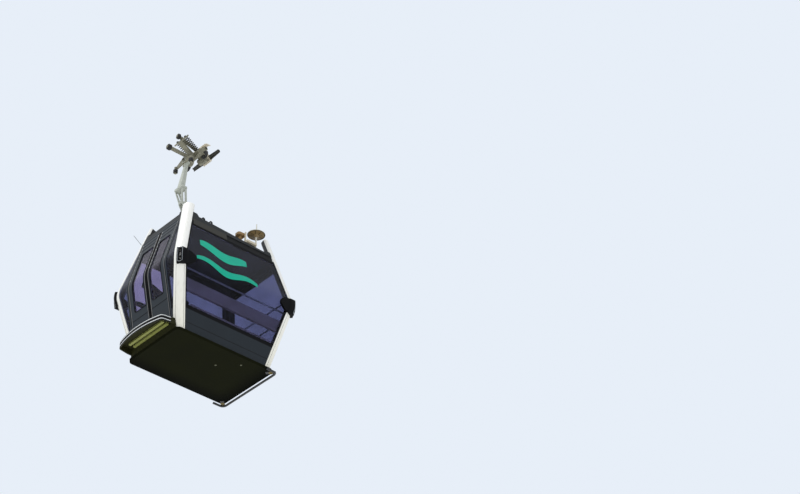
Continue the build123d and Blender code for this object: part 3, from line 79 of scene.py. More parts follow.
# Materials
MIX_FACTOR, MIX_FIRST, MIX_SECOND, MIX_RESULT = 0, 6, 7, 2
GLOSS_SPREAD = 0.12
DUST = {"scale": 3.5, "from": 0.35, "to": 0.75}
RAIN = {"stretch": (26.0, 26.0, 1.1), "from": 0.52, "to": 0.80, "most": 0.45}
RISER = {"levels": (0.070, 0.127), "band": 0.007, "middle": -0.80, "inner": -0.955, "lean": 0.4,
         "ribs": 450.0, "rib_depth": 0.002, "gleam": 0.6}
LOOKS_DOWN, LOOKS_IN = -0.5, -0.1
DIAGONAL = (0.707, 0.707, 0.0)


def parts_of(material):
    """The node tree and the shader of a material."""
    tree = material.node_tree
    return tree, tree.nodes["Principled BSDF"]


def new_material(name):
    """A new principled material, with its node tree and its shader."""
    material = bpy.data.materials.new(name)
    material.use_nodes = True
    return material, *parts_of(material)


def srgb(code):
    """A hex colour as linear values with alpha."""
    values = []
    for start in (0, 2, 4):
        v = int(code[start : start + 2], 16) / 255
        values.append(v / 12.92 if v <= 0.04045 else ((v + 0.055) / 1.055) ** 2.4)
    return (*values, 1.0)


def feed(tree, socket, value):
    """Links an output to a socket, or sets a plain value on it."""
    if isinstance(value, bpy.types.NodeSocket):
        tree.links.new(value, socket)
    else:
        socket.default_value = value


def place_of(tree):
    """Where a point of the surface is."""
    return tree.nodes.new("ShaderNodeTexCoord").outputs["Object"]


def facing_of(tree):
    """Which way a face looks."""
    return tree.nodes.new("ShaderNodeNewGeometry").outputs["True Normal"]


def split(tree, vector):
    """The X, Y and Z of a vector."""
    node = tree.nodes.new("ShaderNodeSeparateXYZ")
    feed(tree, node.inputs["Vector"], vector)
    return node.outputs


def calculation(tree, kind, operation, values):
    """The outputs of a node that does one sum on its values."""
    node = tree.nodes.new(kind)
    node.operation = operation
    for port, value in enumerate(values):
        feed(tree, node.inputs[port], value)
    return node.outputs


def number_sum(tree, operation, *values):
    """The outcome of one sum on numbers."""
    return calculation(tree, "ShaderNodeMath", operation, values)["Value"]


def vector_sum(tree, operation, *values):
    """The outcome of one sum on vectors, which is a number for a dot product."""
    result = "Value" if operation == "DOT_PRODUCT" else "Vector"
    return calculation(tree, "ShaderNodeVectorMath", operation, values)[result]


def noise(tree, vector, scale, detail, rough=0.5):
    """Uneven patches over a surface."""
    node = tree.nodes.new("ShaderNodeTexNoise")
    node.inputs["Scale"].default_value = scale
    node.inputs["Detail"].default_value = detail
    node.inputs["Roughness"].default_value = rough
    feed(tree, node.inputs["Vector"], vector)
    return node.outputs["Fac"]


def ranged(tree, value, low, high, to_low=0.0, to_high=1.0, kind="LINEAR"):
    """A value carried over from one range to another."""
    node = tree.nodes.new("ShaderNodeMapRange")
    node.interpolation_type = kind
    for port, limit in (("From Min", low), ("From Max", high), ("To Min", to_low), ("To Max", to_high)):
        node.inputs[port].default_value = limit
    feed(tree, node.inputs["Value"], value)
    return node.outputs["Result"]


def mixed(tree, factor, first, second):
    """A mix that goes from the first colour to the second."""
    node = tree.nodes.new("ShaderNodeMix")
    node.data_type = "RGBA"
    for port, value in ((MIX_FACTOR, factor), (MIX_FIRST, first), (MIX_SECOND, second)):
        feed(tree, node.inputs[port], value)
    return node.outputs[MIX_RESULT]


def painted_over(material, coats):
    """Lays shades over a material's colour, each where its mask says."""
    tree, shader = parts_of(material)
    paint = shader.inputs["Base Color"].links[0].from_socket
    for mask, shade in coats:
        paint = mixed(tree, mask, paint, srgb(shade))
    feed(tree, shader.inputs["Base Color"], paint)


def surface(name, dark, light, rough, metal=0.0, scale=6.0, bump=0.02, bump_scale=300.0, coat=0.0, shine=0.5):
    """Paint, metal or rubber with uneven colour, uneven gloss and a fine bump."""
    material, tree, shader = new_material(name)
    place = place_of(tree)
    patches = noise(tree, place, scale, detail=8.0, rough=0.65)
    feed(tree, shader.inputs["Base Color"], mixed(tree, patches, srgb(dark), srgb(light)))
    smooth, dull = max(0.02, rough - GLOSS_SPREAD), min(1.0, rough + GLOSS_SPREAD)
    feed(tree, shader.inputs["Roughness"], ranged(tree, patches, 0.0, 1.0, smooth, dull))
    relief = tree.nodes.new("ShaderNodeBump")
    relief.inputs["Strength"].default_value = bump
    relief.inputs["Distance"].default_value = 0.001
    feed(tree, relief.inputs["Height"], noise(tree, place, bump_scale, detail=3.0))
    feed(tree, shader.inputs["Normal"], relief.outputs["Normal"])
    shader.inputs["Metallic"].default_value = metal
    shader.inputs["Coat Weight"].default_value = coat
    shader.inputs["Specular IOR Level"].default_value = shine
    return material


def tinted_glass(name, lightest, dusty):
    """Clear tinted sheet, a little darker where dust gathers in patches."""
    material, tree, shader = new_material(name)
    patches = noise(tree, place_of(tree), DUST["scale"], detail=9.0)
    film = ranged(tree, patches, DUST["from"], DUST["to"])
    feed(tree, shader.inputs["Base Color"], mixed(tree, film, lightest, dusty))
    shader.inputs["Transmission Weight"].default_value = 1.0
    shader.inputs["Roughness"].default_value = 0.0
    shader.inputs["IOR"].default_value = 1.2
    return material


def weathered_paint(name, lightest, darkest, low_tint, rough):
    """Coach paint, warmer low down, with rain streaks that run down it."""
    material = surface(name, lightest, lightest, rough, scale=3.0, coat=0.2)
    tree, shader = parts_of(material)
    place = place_of(tree)
    stretch = tree.nodes.new("ShaderNodeMapping")
    stretch.inputs["Scale"].default_value = RAIN["stretch"]
    feed(tree, stretch.inputs["Vector"], place)
    streaks = noise(tree, stretch.outputs["Vector"], 1.0, detail=6.0)
    strength = ranged(tree, streaks, RAIN["from"], RAIN["to"], to_high=RAIN["most"])
    height = ranged(tree, split(tree, place)["Z"], FOOT_Z, FOOT_Z + BEND_Z)
    body = mixed(tree, height, srgb(low_tint), srgb(lightest))
    feed(tree, shader.inputs["Base Color"], mixed(tree, strength, body, srgb(darkest)))
    return material


def two_sided(name, above, below, rough):
    """One colour on faces that look down and another on the rest."""
    material = surface(name, above, above, rough, scale=8.0)
    tree, shader = parts_of(material)
    underneath = number_sum(tree, "LESS_THAN", split(tree, facing_of(tree))["Z"], LOOKS_DOWN)
    feed(tree, shader.inputs["Base Color"], mixed(tree, underneath, srgb(above), srgb(below)))
    return material


def darker_towards(material, shade, sides):
    """Lets a darker shade grow along some axes, each from where it is lightest to where it is darkest."""
    tree, _ = parts_of(material)
    spot = split(tree, place_of(tree))
    masks = [ranged(tree, spot[axis], lightest, darkest, kind="SMOOTHSTEP") for axis, lightest, darkest in sides]
    painted_over(material, [(mask, shade) for mask in masks])


def dressed_riser(material, rubber, bright):
    """Ribbed rubber on the upright faces of the step, with a bright band along each of its levels."""
    tree, shader = parts_of(material)

    def total(operation, *values):
        return number_sum(tree, operation, *values)

    spot, facing = split(tree, place_of(tree)), split(tree, facing_of(tree))
    ahead = total("MULTIPLY", total("SUBTRACT", spot["Y"], MIDDLE_Y + RISER["middle"]), facing["Y"])
    outward = total("ADD", total("MULTIPLY", spot["X"], facing["X"]), ahead)
    upright = total("LESS_THAN", total("ABSOLUTE", facing["Z"]), RISER["lean"])
    upright = total("MULTIPLY", upright, total("GREATER_THAN", outward, 0.0))
    upright = total("MULTIPLY", upright, total("LESS_THAN", spot["Y"], MIDDLE_Y + RISER["inner"]))
    on_band = 0.0
    for level in RISER["levels"]:
        off = total("ABSOLUTE", total("SUBTRACT", spot["Z"], FOOT_Z + level))
        on_band = total("MAXIMUM", total("LESS_THAN", off, RISER["band"]), on_band)
    on_band = total("MULTIPLY", on_band, upright)
    painted_over(material, ((upright, rubber), (on_band, bright)))
    feed(tree, shader.inputs["Metallic"], total("MULTIPLY", on_band, RISER["gleam"]))
    ribs = total("SINE", total("MULTIPLY", total("ADD", spot["X"], spot["Y"]), RISER["ribs"]))
    relief = tree.nodes.new("ShaderNodeBump")
    relief.inputs["Distance"].default_value = RISER["rib_depth"]
    feed(tree, relief.inputs["Height"], total("MULTIPLY", ribs, total("SUBTRACT", 1.0, on_band)))
    feed(tree, relief.inputs["Normal"], shader.inputs["Normal"].links[0].from_socket)
    feed(tree, relief.inputs["Strength"], upright)
    feed(tree, shader.inputs["Normal"], relief.outputs["Normal"])


def painted_inner_shade(material, shade):
    """Darkens the faces of a post that look back into the cabin, as painted shade."""
    tree, _ = parts_of(material)
    spot = vector_sum(tree, "SUBTRACT", place_of(tree), (0.0, MIDDLE_Y, 0.0))
    outward = vector_sum(tree, "MULTIPLY", vector_sum(tree, "SIGN", spot), DIAGONAL)
    facing = vector_sum(tree, "DOT_PRODUCT", facing_of(tree), outward)
    painted_over(material, [(number_sum(tree, "LESS_THAN", facing, LOOKS_IN), shade)])


POST_WHITE_PAINTED_SHADE = weathered_paint("post_white_painted_shade", "F7F7F2", "D2CFC0", "F0EEE0", 0.38)
# Painted shade: the faces of the posts that look into the cabin are coloured dark.
painted_inner_shade(POST_WHITE_PAINTED_SHADE, "141619")
SLATE = surface("panel_slate", "181F25", "222A31", 0.45, scale=2.0, shine=0.25)
DOOR_GREY = surface("door_frame_grey", "1A2228", "27313A", 0.4, scale=3.0, shine=0.3)
RIM_GREY = surface("roof_rim_grey", "191C1F", "25292C", 0.45, scale=3.0, shine=0.2)
RUBBER = surface("seal_rubber", "07080A", "121316", 0.65, scale=8.0, shine=0.1)
# Underside: dark paint, with a painted reflection of the green ground below as its olive cast, and painted
# shade that darkens it towards its -x edge and its far +y edge.
UNDER_WITH_PAINTED_LIGHT = surface("underfloor", "0B0D03", "191B0A", 0.9, scale=2.5, shine=0.06)
darker_towards(UNDER_WITH_PAINTED_LIGHT, "040502", (("X", -0.28, -0.62), ("Y", MIDDLE_Y + 0.55, MIDDLE_Y + 0.90)))
# The slats are aluminium; their olive-yellow colour is a painted reflection of the green ground below.
SLAT_PAINTED_REFLECTION = surface("slat_olive", "7C8040", "969B52", 0.5, scale=12.0)
TUBE_PAINT = surface("tube_black", "101214", "1E2123", 0.35, scale=12.0)
# Step tray: dark paint, with a painted reflection of the green ground below as its olive cast.
STEP_WITH_PAINTED_REFLECTION = surface("step_tray_painted_reflection", "1C1D0B", "2F3014", 0.7, scale=4.0, shine=0.15)
dressed_riser(STEP_WITH_PAINTED_REFLECTION, "101113", "DADDDD")
CLOTH = surface("seat_cloth", "CDBFBA", "E6DAD3", 0.85, scale=40.0, bump=0.3, bump_scale=900.0)
SHELL = surface("seat_shell", "303034", "404045", 0.5)
RAIL = surface("bright_rail", "A8ACAE", "C4C8CA", 0.3, metal=0.9, scale=12.0)
ZINC = surface("zinc_coat", "A3A99E", "CACDC3", 0.55, metal=0.1, scale=18.0)
DARK_STEEL = surface("grip_steel", "3E3F35", "A5A28C", 0.55, metal=0.15, scale=8.0)
CREAM = surface("cream_cast", "D2C8AF", "F0E9D8", 0.5, scale=14.0)
ROLLER = surface("roller_rubber", "121212", "242424", 0.65, scale=20.0)
COIL = surface("spring_steel", "22221F", "3E3D38", 0.5, metal=0.3, scale=30.0)
ROOF_CAST = surface("roof_cast", "B8AF98", "DCD3BE", 0.5, scale=14.0)
darker_towards(ROOF_CAST, "1C1D1B", (("Y", MIDDLE_Y + 0.12, MIDDLE_Y + 0.02),))
SHEATH = surface("guide_steel", "2B2C28", "4A4A42", 0.55, metal=0.2, scale=20.0)
TAN = surface("case_tan", "86683F", "A2845A", 0.55, scale=10.0)
DISH = two_sided("dish_white", "DAD8CC", "7E6A46", 0.45)
GLASS = tinted_glass("tinted_glass", (0.31, 0.32, 0.47, 1.0), (0.26, 0.27, 0.38, 1.0))
DOOR_GLASS = tinted_glass("door_glass", (0.70, 0.58, 0.76, 1.0), (0.60, 0.50, 0.66, 1.0))
# Light grey beads up the door edges: painted highlights.
EDGE_PAINTED_HIGHLIGHT = surface("edge_painted_highlight", "66666A", "96938F", 0.4, scale=30.0, shine=0.5)
TEAL = surface("teal_film", "13A085", "1FC09E", 0.45, scale=5.0, shine=0.15)
STRIP = surface("riveted_strip", "22221F", "36352E", 0.5, scale=9.0, shine=0.3)
BLACK = surface("black_plastic", "08090A", "141517", 0.5, scale=9.0, shine=0.15)
# Drain plugs: dark paint, with a painted reflection of the green ground below as their olive cast.
PLUG_WITH_PAINTED_REFLECTION = surface("drain_plug_painted_reflection", "3A3B26", "55563C", 0.6, scale=20.0)
BRONZE = surface("lug_bronze", "4E4424", "7C6E40", 0.5, metal=0.3, scale=20.0)
# Light grey beads and rivet heads: painted highlights and glints.
PAINTED_HIGHLIGHT_GREY = surface("painted_highlight_grey", "8E9397", "B4BABE", 0.35, metal=0.4, scale=20.0)

BY_SLOT = {
    "white_coat": POST_WHITE_PAINTED_SHADE,
    "slate_coat": SLATE,
    "frame_coat": DOOR_GREY,
    "seal_rubber": RUBBER,
    "tinted_glass": GLASS,
    "underfloor": UNDER_WITH_PAINTED_LIGHT,
    "step_olive": STEP_WITH_PAINTED_REFLECTION,
    "slat_olive": SLAT_PAINTED_REFLECTION,
    "tube_black": TUBE_PAINT,
    "seat_cloth": CLOTH,
    "seat_shell": SHELL,
    "bright_rail": RAIL,
    "zinc_coat": ZINC,
    "grip_steel": DARK_STEEL,
    "cream_cast": CREAM,
    "spring_steel": COIL,
    "roller_rubber": ROLLER,
    "case_tan": TAN,
    "dish_white": DISH,
}
BY_NODE = {"rope_guides": SHEATH, "roof_rail": ROOF_CAST, "roof_rim": RIM_GREY, "door_panes": DOOR_GLASS}
for part in frame["record"]["subparts"]:
    mesh = nodes[part["node"]].data
    mesh.materials.clear()
    mesh.materials.append(BY_NODE.get(part["node"], BY_SLOT[part["material_slot"]]))


# Shapes
UP, DOWN = Vector((0, 0, 1)), Vector((0, 0, -1))
SHARP_ANGLE = math.radians(35.0)


def at(x, y, z):
    """A point given from the cabin's middle and the underside of its posts."""
    return Vector((x, MIDDLE_Y + y, FOOT_Z + z))


def skin_of(*names):
    """A tree to find points on the surfaces of CAD nodes."""
    corners, faces = [], []
    for name in names:
        mesh = nodes[name].data
        start = len(corners)
        corners += [v.co.copy() for v in mesh.vertices]
        faces += [[start + v for v in polygon.vertices] for polygon in mesh.polygons]
    return BVHTree.FromPolygons(corners, faces)


def land(tree, start, way, lift=0.0):
    """Where a ray first meets the skin, lifted back towards its start."""
    hit = tree.ray_cast(start, way)[0]
    return None if hit is None else hit - way * lift


def tube(bm, points, radius, sides=8, closed=False):
    """A round bar through points."""
    rings = []
    normal = None
    last = len(points) - 1
    for i, point in enumerate(points):
        before = points[i - 1] if i or closed else point
        after = points[(i + 1) % len(points)] if i < last or closed else point
        along = (after - before).normalized()
        side = along.orthogonal() if normal is None else normal - along * normal.dot(along)
        normal = side.normalized()
        other = along.cross(normal)
        ring = []
        for k in range(sides):
            turn = math.tau * k / sides
            ring.append(bm.verts.new(point + radius * (math.cos(turn) * normal + math.sin(turn) * other)))
        rings.append(ring)
    for a, b in zip(rings, rings[1:] + rings[:1] if closed else rings[1:]):
        for k in range(sides):
            j = (k + 1) % sides
            bm.faces.new((a[k], a[j], b[j], b[k]))
    if not closed:
        bm.faces.new(rings[0][::-1])
        bm.faces.new(rings[-1])


def cast_tube(bm, tree, starts, way, radius, lift=0.0, closed=False, sides=8):
    """A round bar laid on a skin, where rays from the starts meet it."""
    points = [land(tree, start, way, lift) for start in starts]
    tube(bm, [p for p in points if p is not None], radius, sides, closed)


def seat_of(place, out):
    """The frame of a head that stands on a place and looks out from it."""
    return Matrix.Translation(place) @ out.to_track_quat("Z", "Y").to_matrix().to_4x4()


def bolt(bm, place, out, size):
    """A hexagon head on a washer, with the shank's end proud of it."""
    seat = seat_of(place, out)
    for sides, wide, top, low, high in (
        (20, 1.15, 1.15, 0.0, 0.18),
        (6, 1.0, 1.0, 0.18, 0.72),
        (6, 1.0, 0.84, 0.72, 0.82),
        (14, 0.5, 0.44, 0.82, 1.05),
    ):
        bmesh.ops.create_cone(
            bm,
            cap_ends=True,
            segments=sides,
            radius1=size * wide,
            radius2=size * top,
            depth=size * (high - low),
            matrix=seat @ Matrix.Translation((0, 0, size * (low + high) / 2)),
        )


def dome(bm, place, out, radius, height):
    """A low round head."""
    seat = seat_of(place, out)
    made = bmesh.ops.create_uvsphere(bm, u_segments=12, v_segments=8, radius=radius, matrix=seat)
    for v in made["verts"]:
        local = seat.inverted() @ v.co
        v.co = seat @ Vector((local.x, local.y, max(local.z, 0.0) * height / radius))


def piece(name, bm, material, body):
    """Finishes a mesh as a piece that rides on a body."""
    bmesh.ops.recalc_face_normals(bm, faces=bm.faces)
    mesh = bpy.data.meshes.new(name)
    bm.to_mesh(mesh)
    bm.free()
    mesh.shade_smooth()
    mesh.set_sharp_from_angle(angle=SHARP_ANGLE)
    mesh.materials.append(material)
    made = bpy.data.objects.new(name, mesh)
    scene.collection.objects.link(made)
    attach(made, body)
    return made


def spaced(low, high, step=0.03):
    """Even stops from low to high, about a step apart."""
    count = max(2, round(abs(high - low) / step) + 1)
    return [low + (high - low) * i / (count - 1) for i in range(count)]


def rounded_loop(a_low, a_high, b_low, b_high, corner, step=0.03):
    """Stops round a rectangle with round corners."""
    stops = []
    for ca, cb, first in (
        (a_high - corner, b_high - corner, 0),
        (a_low + corner, b_high - corner, 90),
        (a_low + corner, b_low + corner, 180),
        (a_high - corner, b_low + corner, 270),
    ):
        for turn in range(first, first + 91, 30):
            angle = math.radians(turn)
            stops.append((ca + corner * math.cos(angle), cb + corner * math.sin(angle)))
    filled = []
    for (a0, b0), (a1, b1) in zip(stops, stops[1:] + stops[:1]):
        parts = max(1, round(math.hypot(a1 - a0, b1 - b0) / step))
        filled += [(a0 + (a1 - a0) * i / parts, b0 + (b1 - b0) * i / parts) for i in range(parts)]
    return filled


# Doors: a gasket round each pane, and dark strips up the edges of the leaves, with light beads beside them as
# painted highlights
TOWARD_DOORS = Vector((0, 1, 0))
FAR = 1.6
LEAF_WINDOW = {"inner": 0.080, "outer": 0.340, "foot": 0.640, "head": 1.700, "corner": 0.030}
GASKET = {"outset": 0.007, "radius": 0.006}
DOOR = {"half": 0.455, "foot": 0.092, "head": 1.960}
EDGE_MARGIN = 0.015
EDGE_BARS = (
    ("door_edge_strips", RUBBER, ((0.010, 0.0075), (0.028, 0.005), (DOOR["half"] - 0.012, 0.006))),
    # The light beads are painted highlights along the leaf edges.
    ("door_edge_painted_highlights", EDGE_PAINTED_HIGHLIGHT, ((0.040, 0.005), (DOOR["half"] - 0.022, 0.005))),
)
leaves = skin_of("door_leaf_front", "door_leaf_rear")


def on_leaves(bm, spots, radius, closed=False):
    """A round bar laid on the door leaves, through spots given across and up."""
    cast_tube(bm, leaves, [at(x, -FAR, z) for x, z in spots], TOWARD_DOORS, radius, closed=closed)


bm = bmesh.new()
outline = rounded_loop(LEAF_WINDOW["inner"] - GASKET["outset"], LEAF_WINDOW["outer"] + GASKET["outset"],
                       LEAF_WINDOW["foot"] - GASKET["outset"], LEAF_WINDOW["head"] + GASKET["outset"],
                       LEAF_WINDOW["corner"])
for side in SIDES:
    on_leaves(bm, [(side * x, z) for x, z in outline], GASKET["radius"], closed=True)
piece("door_pane_gaskets", bm, RUBBER, "hanger")
stops = spaced(DOOR["foot"] + EDGE_MARGIN, DOOR["head"] - EDGE_MARGIN)
for name, material, bars in EDGE_BARS:
    bm = bmesh.new()
    for x, radius in bars:
        for side in SIDES:
            on_leaves(bm, [(side * x, z) for z in stops], radius)
    piece(name, bm, material, "hanger")

# Door leaves: a black line under each pane and two above it, painted shade in their pressed grooves
PRESSED = {"levels": (0.518, 1.800, 1.880), "inner": 0.045, "outer": 0.42, "radius": 0.004}
bm = bmesh.new()
for side in SIDES:
    for z in PRESSED["levels"]:
        stops = spaced(PRESSED["inner"], PRESSED["outer"])
        on_leaves(bm, [(side * x, z) for x in stops], PRESSED["radius"])
piece("door_pressed_line_shade", bm, BLACK, "hanger")

# Door leaves: rivets along the upright edges of their sloping upper half, light grey as painted glints
RIVET = {"radius": 0.0095, "height": 0.0045, "pitch": 0.075, "out": Vector((0, -1, 0.35)).normalized()}
RIVET_ROWS = {"across": (0.052, DOOR["half"] - 0.028), "foot": 1.20, "head": DOOR["head"] - 0.04}
bm = bmesh.new()
for side in SIDES:
    for x in RIVET_ROWS["across"]:
        for z in spaced(RIVET_ROWS["foot"], RIVET_ROWS["head"], RIVET["pitch"]):
            spot = land(leaves, at(side * x, -FAR, z), TOWARD_DOORS)
            dome(bm, spot, RIVET["out"], RIVET["radius"], RIVET["height"])
piece("door_rivets", bm, PAINTED_HIGHLIGHT_GREY, "hanger")

# Step: fine ribs over its tread, from front to back
TREAD = {"half": 0.50, "front": -1.13, "back": -0.93, "above": 0.5}
TREAD_RIB = {"pitch": 0.025, "stop": 0.02, "radius": 0.003}
step_skin = skin_of("door_step")
bm = bmesh.new()
for x in spaced(-TREAD["half"], TREAD["half"], TREAD_RIB["pitch"]):
    starts = [at(x, y, TREAD["above"]) for y in spaced(TREAD["front"], TREAD["back"], TREAD_RIB["stop"])]
    cast_tube(bm, step_skin, starts, DOWN, TREAD_RIB["radius"], sides=6)
piece("step_tread_ribs", bm, RUBBER, "hanger")

# End rims: a riveted strip on the door-side part, and a black filler in the groove of the rest
STRIP_SPAN = {"outer": -0.735, "inner": -0.115, "low": 1.836, "high": 1.954, "thick": 0.003, "lift": 0.0005}
FILLER_SPAN = {"outer": -0.105, "inner": 0.755, "low": 1.862, "high": 1.946, "thick": 0.005, "lift": -0.012}
STRIP_RIVET = {"from_edge": 0.016, "from_end": 0.03, "pitch": 0.07, "radius": 0.0055, "height": 0.003}
RIM_FACE = {"x": 0.6236, "z": 1.850, "lean": 0.2517}


def rim_x(z):
    """How far out the rim's leaning face is at a height."""
    return RIM_FACE["x"] - RIM_FACE["lean"] * (z - RIM_FACE["z"])


def rim_plate(bm, side, span):
    """A flat plate that follows the rim's leaning face."""
    corners = []
    for depth in (0.0, span["thick"]):
        for y, z in ((span["outer"], span["low"]), (span["inner"], span["low"]),
                     (span["inner"], span["high"]), (span["outer"], span["high"])):
            corners.append(bm.verts.new(at(side * (rim_x(z) + span["lift"] + depth), y, z)))
    for face in ((0, 1, 2, 3), (4, 5, 6, 7), (0, 1, 5, 4), (1, 2, 6, 5), (2, 3, 7, 6), (3, 0, 4, 7)):
        bm.faces.new([corners[i] for i in face])


bm = bmesh.new()
for side in SIDES:
    rim_plate(bm, side, STRIP_SPAN)
    out = Vector((side, 0, 0.25)).normalized()
    first, last = STRIP_SPAN["outer"] + STRIP_RIVET["from_end"], STRIP_SPAN["inner"] - STRIP_RIVET["from_end"]
    for z in (STRIP_SPAN["low"] + STRIP_RIVET["from_edge"], STRIP_SPAN["high"] - STRIP_RIVET["from_edge"]):
        for y in spaced(first, last, STRIP_RIVET["pitch"]):
            spot = at(side * (rim_x(z) + STRIP_SPAN["thick"]), y, z)
            dome(bm, spot, out, STRIP_RIVET["radius"], STRIP_RIVET["height"])
piece("rim_strips", bm, STRIP, "hanger")
bm = bmesh.new()
for side in SIDES:
    rim_plate(bm, side, FILLER_SPAN)
piece("rim_fillers", bm, BLACK, "hanger")

# Lower end panels: a level seam along each, about a quarter of the way up
SEAM = {"half": 0.74, "z": 0.125, "stop": 0.04, "radius": 0.0045, "sunk": 0.0015}
lower_skin = skin_of("lower_panels")
bm = bmesh.new()
for side in SIDES:
    starts = [at(side * FAR, y, SEAM["z"]) for y in spaced(-SEAM["half"], SEAM["half"], SEAM["stop"])]
    cast_tube(bm, lower_skin, starts, Vector((-side, 0, 0)), SEAM["radius"], lift=-SEAM["sunk"], sides=6)
piece("panel_seams", bm, BLACK, "hanger")

# End windows: two plain waving ribbons on the glass
RIBBONS = (
    {"middle": 1.45, "from": -0.66, "to": 0.20, "width": 0.19},
    {"middle": 1.13, "from": -0.76, "to": 0.36, "width": 0.11},
)
RIBBON = {"swing": 0.045, "period": 0.80, "film": 0.0008, "thick": 0.0005, "strands": 4}
NARROWING = {"least": 0.25, "more": 0.75, "from": 0.04, "span": 0.92}
window_skin = skin_of("windows")


def waving(bm, side, ribbon):
    """One ribbon that waves along the glass and narrows to its ends."""
    way = Vector((-side, 0, 0))
    rows = []
    for y in spaced(ribbon["from"], ribbon["to"]):
        along = (y - ribbon["from"]) / (ribbon["to"] - ribbon["from"])
        full = math.sqrt(math.sin(math.pi * (NARROWING["from"] + NARROWING["span"] * along)))
        width = ribbon["width"] * (NARROWING["least"] + NARROWING["more"] * full)
        swing = RIBBON["swing"] * math.sin(math.tau * y / RIBBON["period"])
        row = []
        for j in range(RIBBON["strands"] + 1):
            z = ribbon["middle"] + swing + width * (j / RIBBON["strands"] - 0.5)
            row.append(bm.verts.new(land(window_skin, at(side * FAR, y, z), way, RIBBON["film"])))
        rows.append(row)
    for a, b in zip(rows, rows[1:]):
        for j in range(RIBBON["strands"]):
            bm.faces.new((a[j], b[j], b[j + 1], a[j + 1]))


bm = bmesh.new()
for side in SIDES:
    for ribbon in RIBBONS:
        waving(bm, side, ribbon)
bmesh.ops.recalc_face_normals(bm, faces=bm.faces)
bmesh.ops.solidify(bm, geom=bm.faces[:], thickness=RIBBON["thick"])
piece("window_ribbons", bm, TEAL, "hanger")

# Corners of the cabin, with the ways of the rays that find their pads and posts
CORNER = {"x": 0.15, "y": 0.41, "reach": 2.2}
CORNERS = [(x_side, y_side) for x_side in SIDES for y_side in SIDES]


def corner_ways(x_side, y_side):
    """The way in over a corner, and the level way across it."""
    return Vector((-x_side, -y_side, 0)).normalized(), Vector((x_side, -y_side, 0)).normalized()


def outside(x_side, y_side, off, z):
    """A point well outside a corner, off its middle by some distance."""
    inward, across = corner_ways(x_side, y_side)
    return at(x_side * CORNER["x"], y_side * CORNER["y"], z) - inward * CORNER["reach"] + across * off


# Corner pads: a bright bead round each crown part, a painted highlight on the pad's rounded edge, and two
# knobs in its slot
PAD = {"half": 0.036, "foot": 0.935, "head": 1.165, "corner": 0.020, "stop": 0.012, "highlight_radius": 0.0035}
KNOB = {"levels": (1.095, 1.005), "beside": 0.022, "sunk": 0.004, "radius": 0.017, "height": 0.012}
pads = skin_of("corner_bumpers")
highlight_beads, knobs = bmesh.new(), bmesh.new()
outline = rounded_loop(-PAD["half"], PAD["half"], PAD["foot"], PAD["head"], PAD["corner"], PAD["stop"])
for corner in CORNERS:
    inward, across = corner_ways(*corner)
    starts = [outside(*corner, off, z) for off, z in outline]
    cast_tube(highlight_beads, pads, starts, inward, PAD["highlight_radius"], closed=True)
    for z in KNOB["levels"]:
        face = land(pads, outside(*corner, KNOB["beside"], z), inward)
        spot = face - across * KNOB["beside"] + inward * KNOB["sunk"]
        dome(knobs, spot, -inward, KNOB["radius"], KNOB["height"])
piece("pad_painted_highlights", highlight_beads, PAINTED_HIGHLIGHT_GREY, "hanger")
piece("pad_knobs", knobs, BLACK, "hanger")

# Floor: two drain plugs in the underside, and a round nut under each lug of the tube
BELOW = -0.5
FLOOR_PLUG = {"places": ((0.191, 0.123), (0.437, 0.400)), "radius": 0.017, "height": 0.005}
TUBE_NUT = {"x": 0.571, "y": 0.845, "radius": 0.034, "height": 0.012, "bolt_down": 0.008, "bolt": 0.013}
under = skin_of("floor_pan")
bm = bmesh.new()
for x, y in FLOOR_PLUG["places"]:
    dome(bm, land(under, at(x, y, BELOW), UP), DOWN, FLOOR_PLUG["radius"], FLOOR_PLUG["height"])
piece("floor_plugs", bm, PLUG_WITH_PAINTED_REFLECTION, "hanger")
lugs = skin_of("tube_bumper")
bm = bmesh.new()
for x in (-TUBE_NUT["x"], TUBE_NUT["x"]):
    spot = land(lugs, at(x, TUBE_NUT["y"], BELOW), UP)
    dome(bm, spot, DOWN, TUBE_NUT["radius"], TUBE_NUT["height"])
    bolt(bm, spot - UP * TUBE_NUT["bolt_down"], DOWN, TUBE_NUT["bolt"])
piece("tube_nuts", bm, BRONZE, "hanger")

# Posts: two joint lines down each crown, below the bend
JOINT_LINE = {"off": 0.058, "foot": 0.02, "head": 0.92, "radius": 0.0022, "sunk": 0.0012}
posts = skin_of("corner_posts")
bm = bmesh.new()
for corner in CORNERS:
    inward, _ = corner_ways(*corner)
    for off in (-JOINT_LINE["off"], JOINT_LINE["off"]):
        starts = [outside(*corner, off, z) for z in spaced(JOINT_LINE["foot"], JOINT_LINE["head"])]
        cast_tube(bm, posts, starts, inward, JOINT_LINE["radius"], lift=-JOINT_LINE["sunk"], sides=6)
piece("post_joint_lines", bm, BLACK, "hanger")

# Springs: two wound coils between the heel and the crosshead
SPRING = {"foot": (-0.190, -0.002), "rise": math.radians(31.0), "start": 0.0445, "end": 0.3115,
          "spread": 0.095, "radius": 0.0360, "wire": 0.0062, "turns": 8, "stops": 20}
climb = Vector((0, -math.cos(SPRING["rise"]), math.sin(SPRING["rise"])))
sideways = Vector((1, 0, 0))
third = climb.cross(sideways)
heel = Vector((0, *SPRING["foot"]))
steps = SPRING["turns"] * SPRING["stops"]
room = SPRING["end"] - SPRING["start"] - 2 * SPRING["wire"]
bm = bmesh.new()
for x in (-SPRING["spread"], SPRING["spread"]):
    points = []
    for i in range(steps + 1):
        turn = math.tau * SPRING["turns"] * i / steps
        along = SPRING["start"] + SPRING["wire"] + room * i / steps
        ring = math.cos(turn) * sideways + math.sin(turn) * third
        points.append(heel + x * sideways + climb * along + SPRING["radius"] * ring)
    tube(bm, points, SPRING["wire"], sides=10)
coils = piece("spring_coils", bm, COIL, "grip")
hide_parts("springs")
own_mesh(coils)

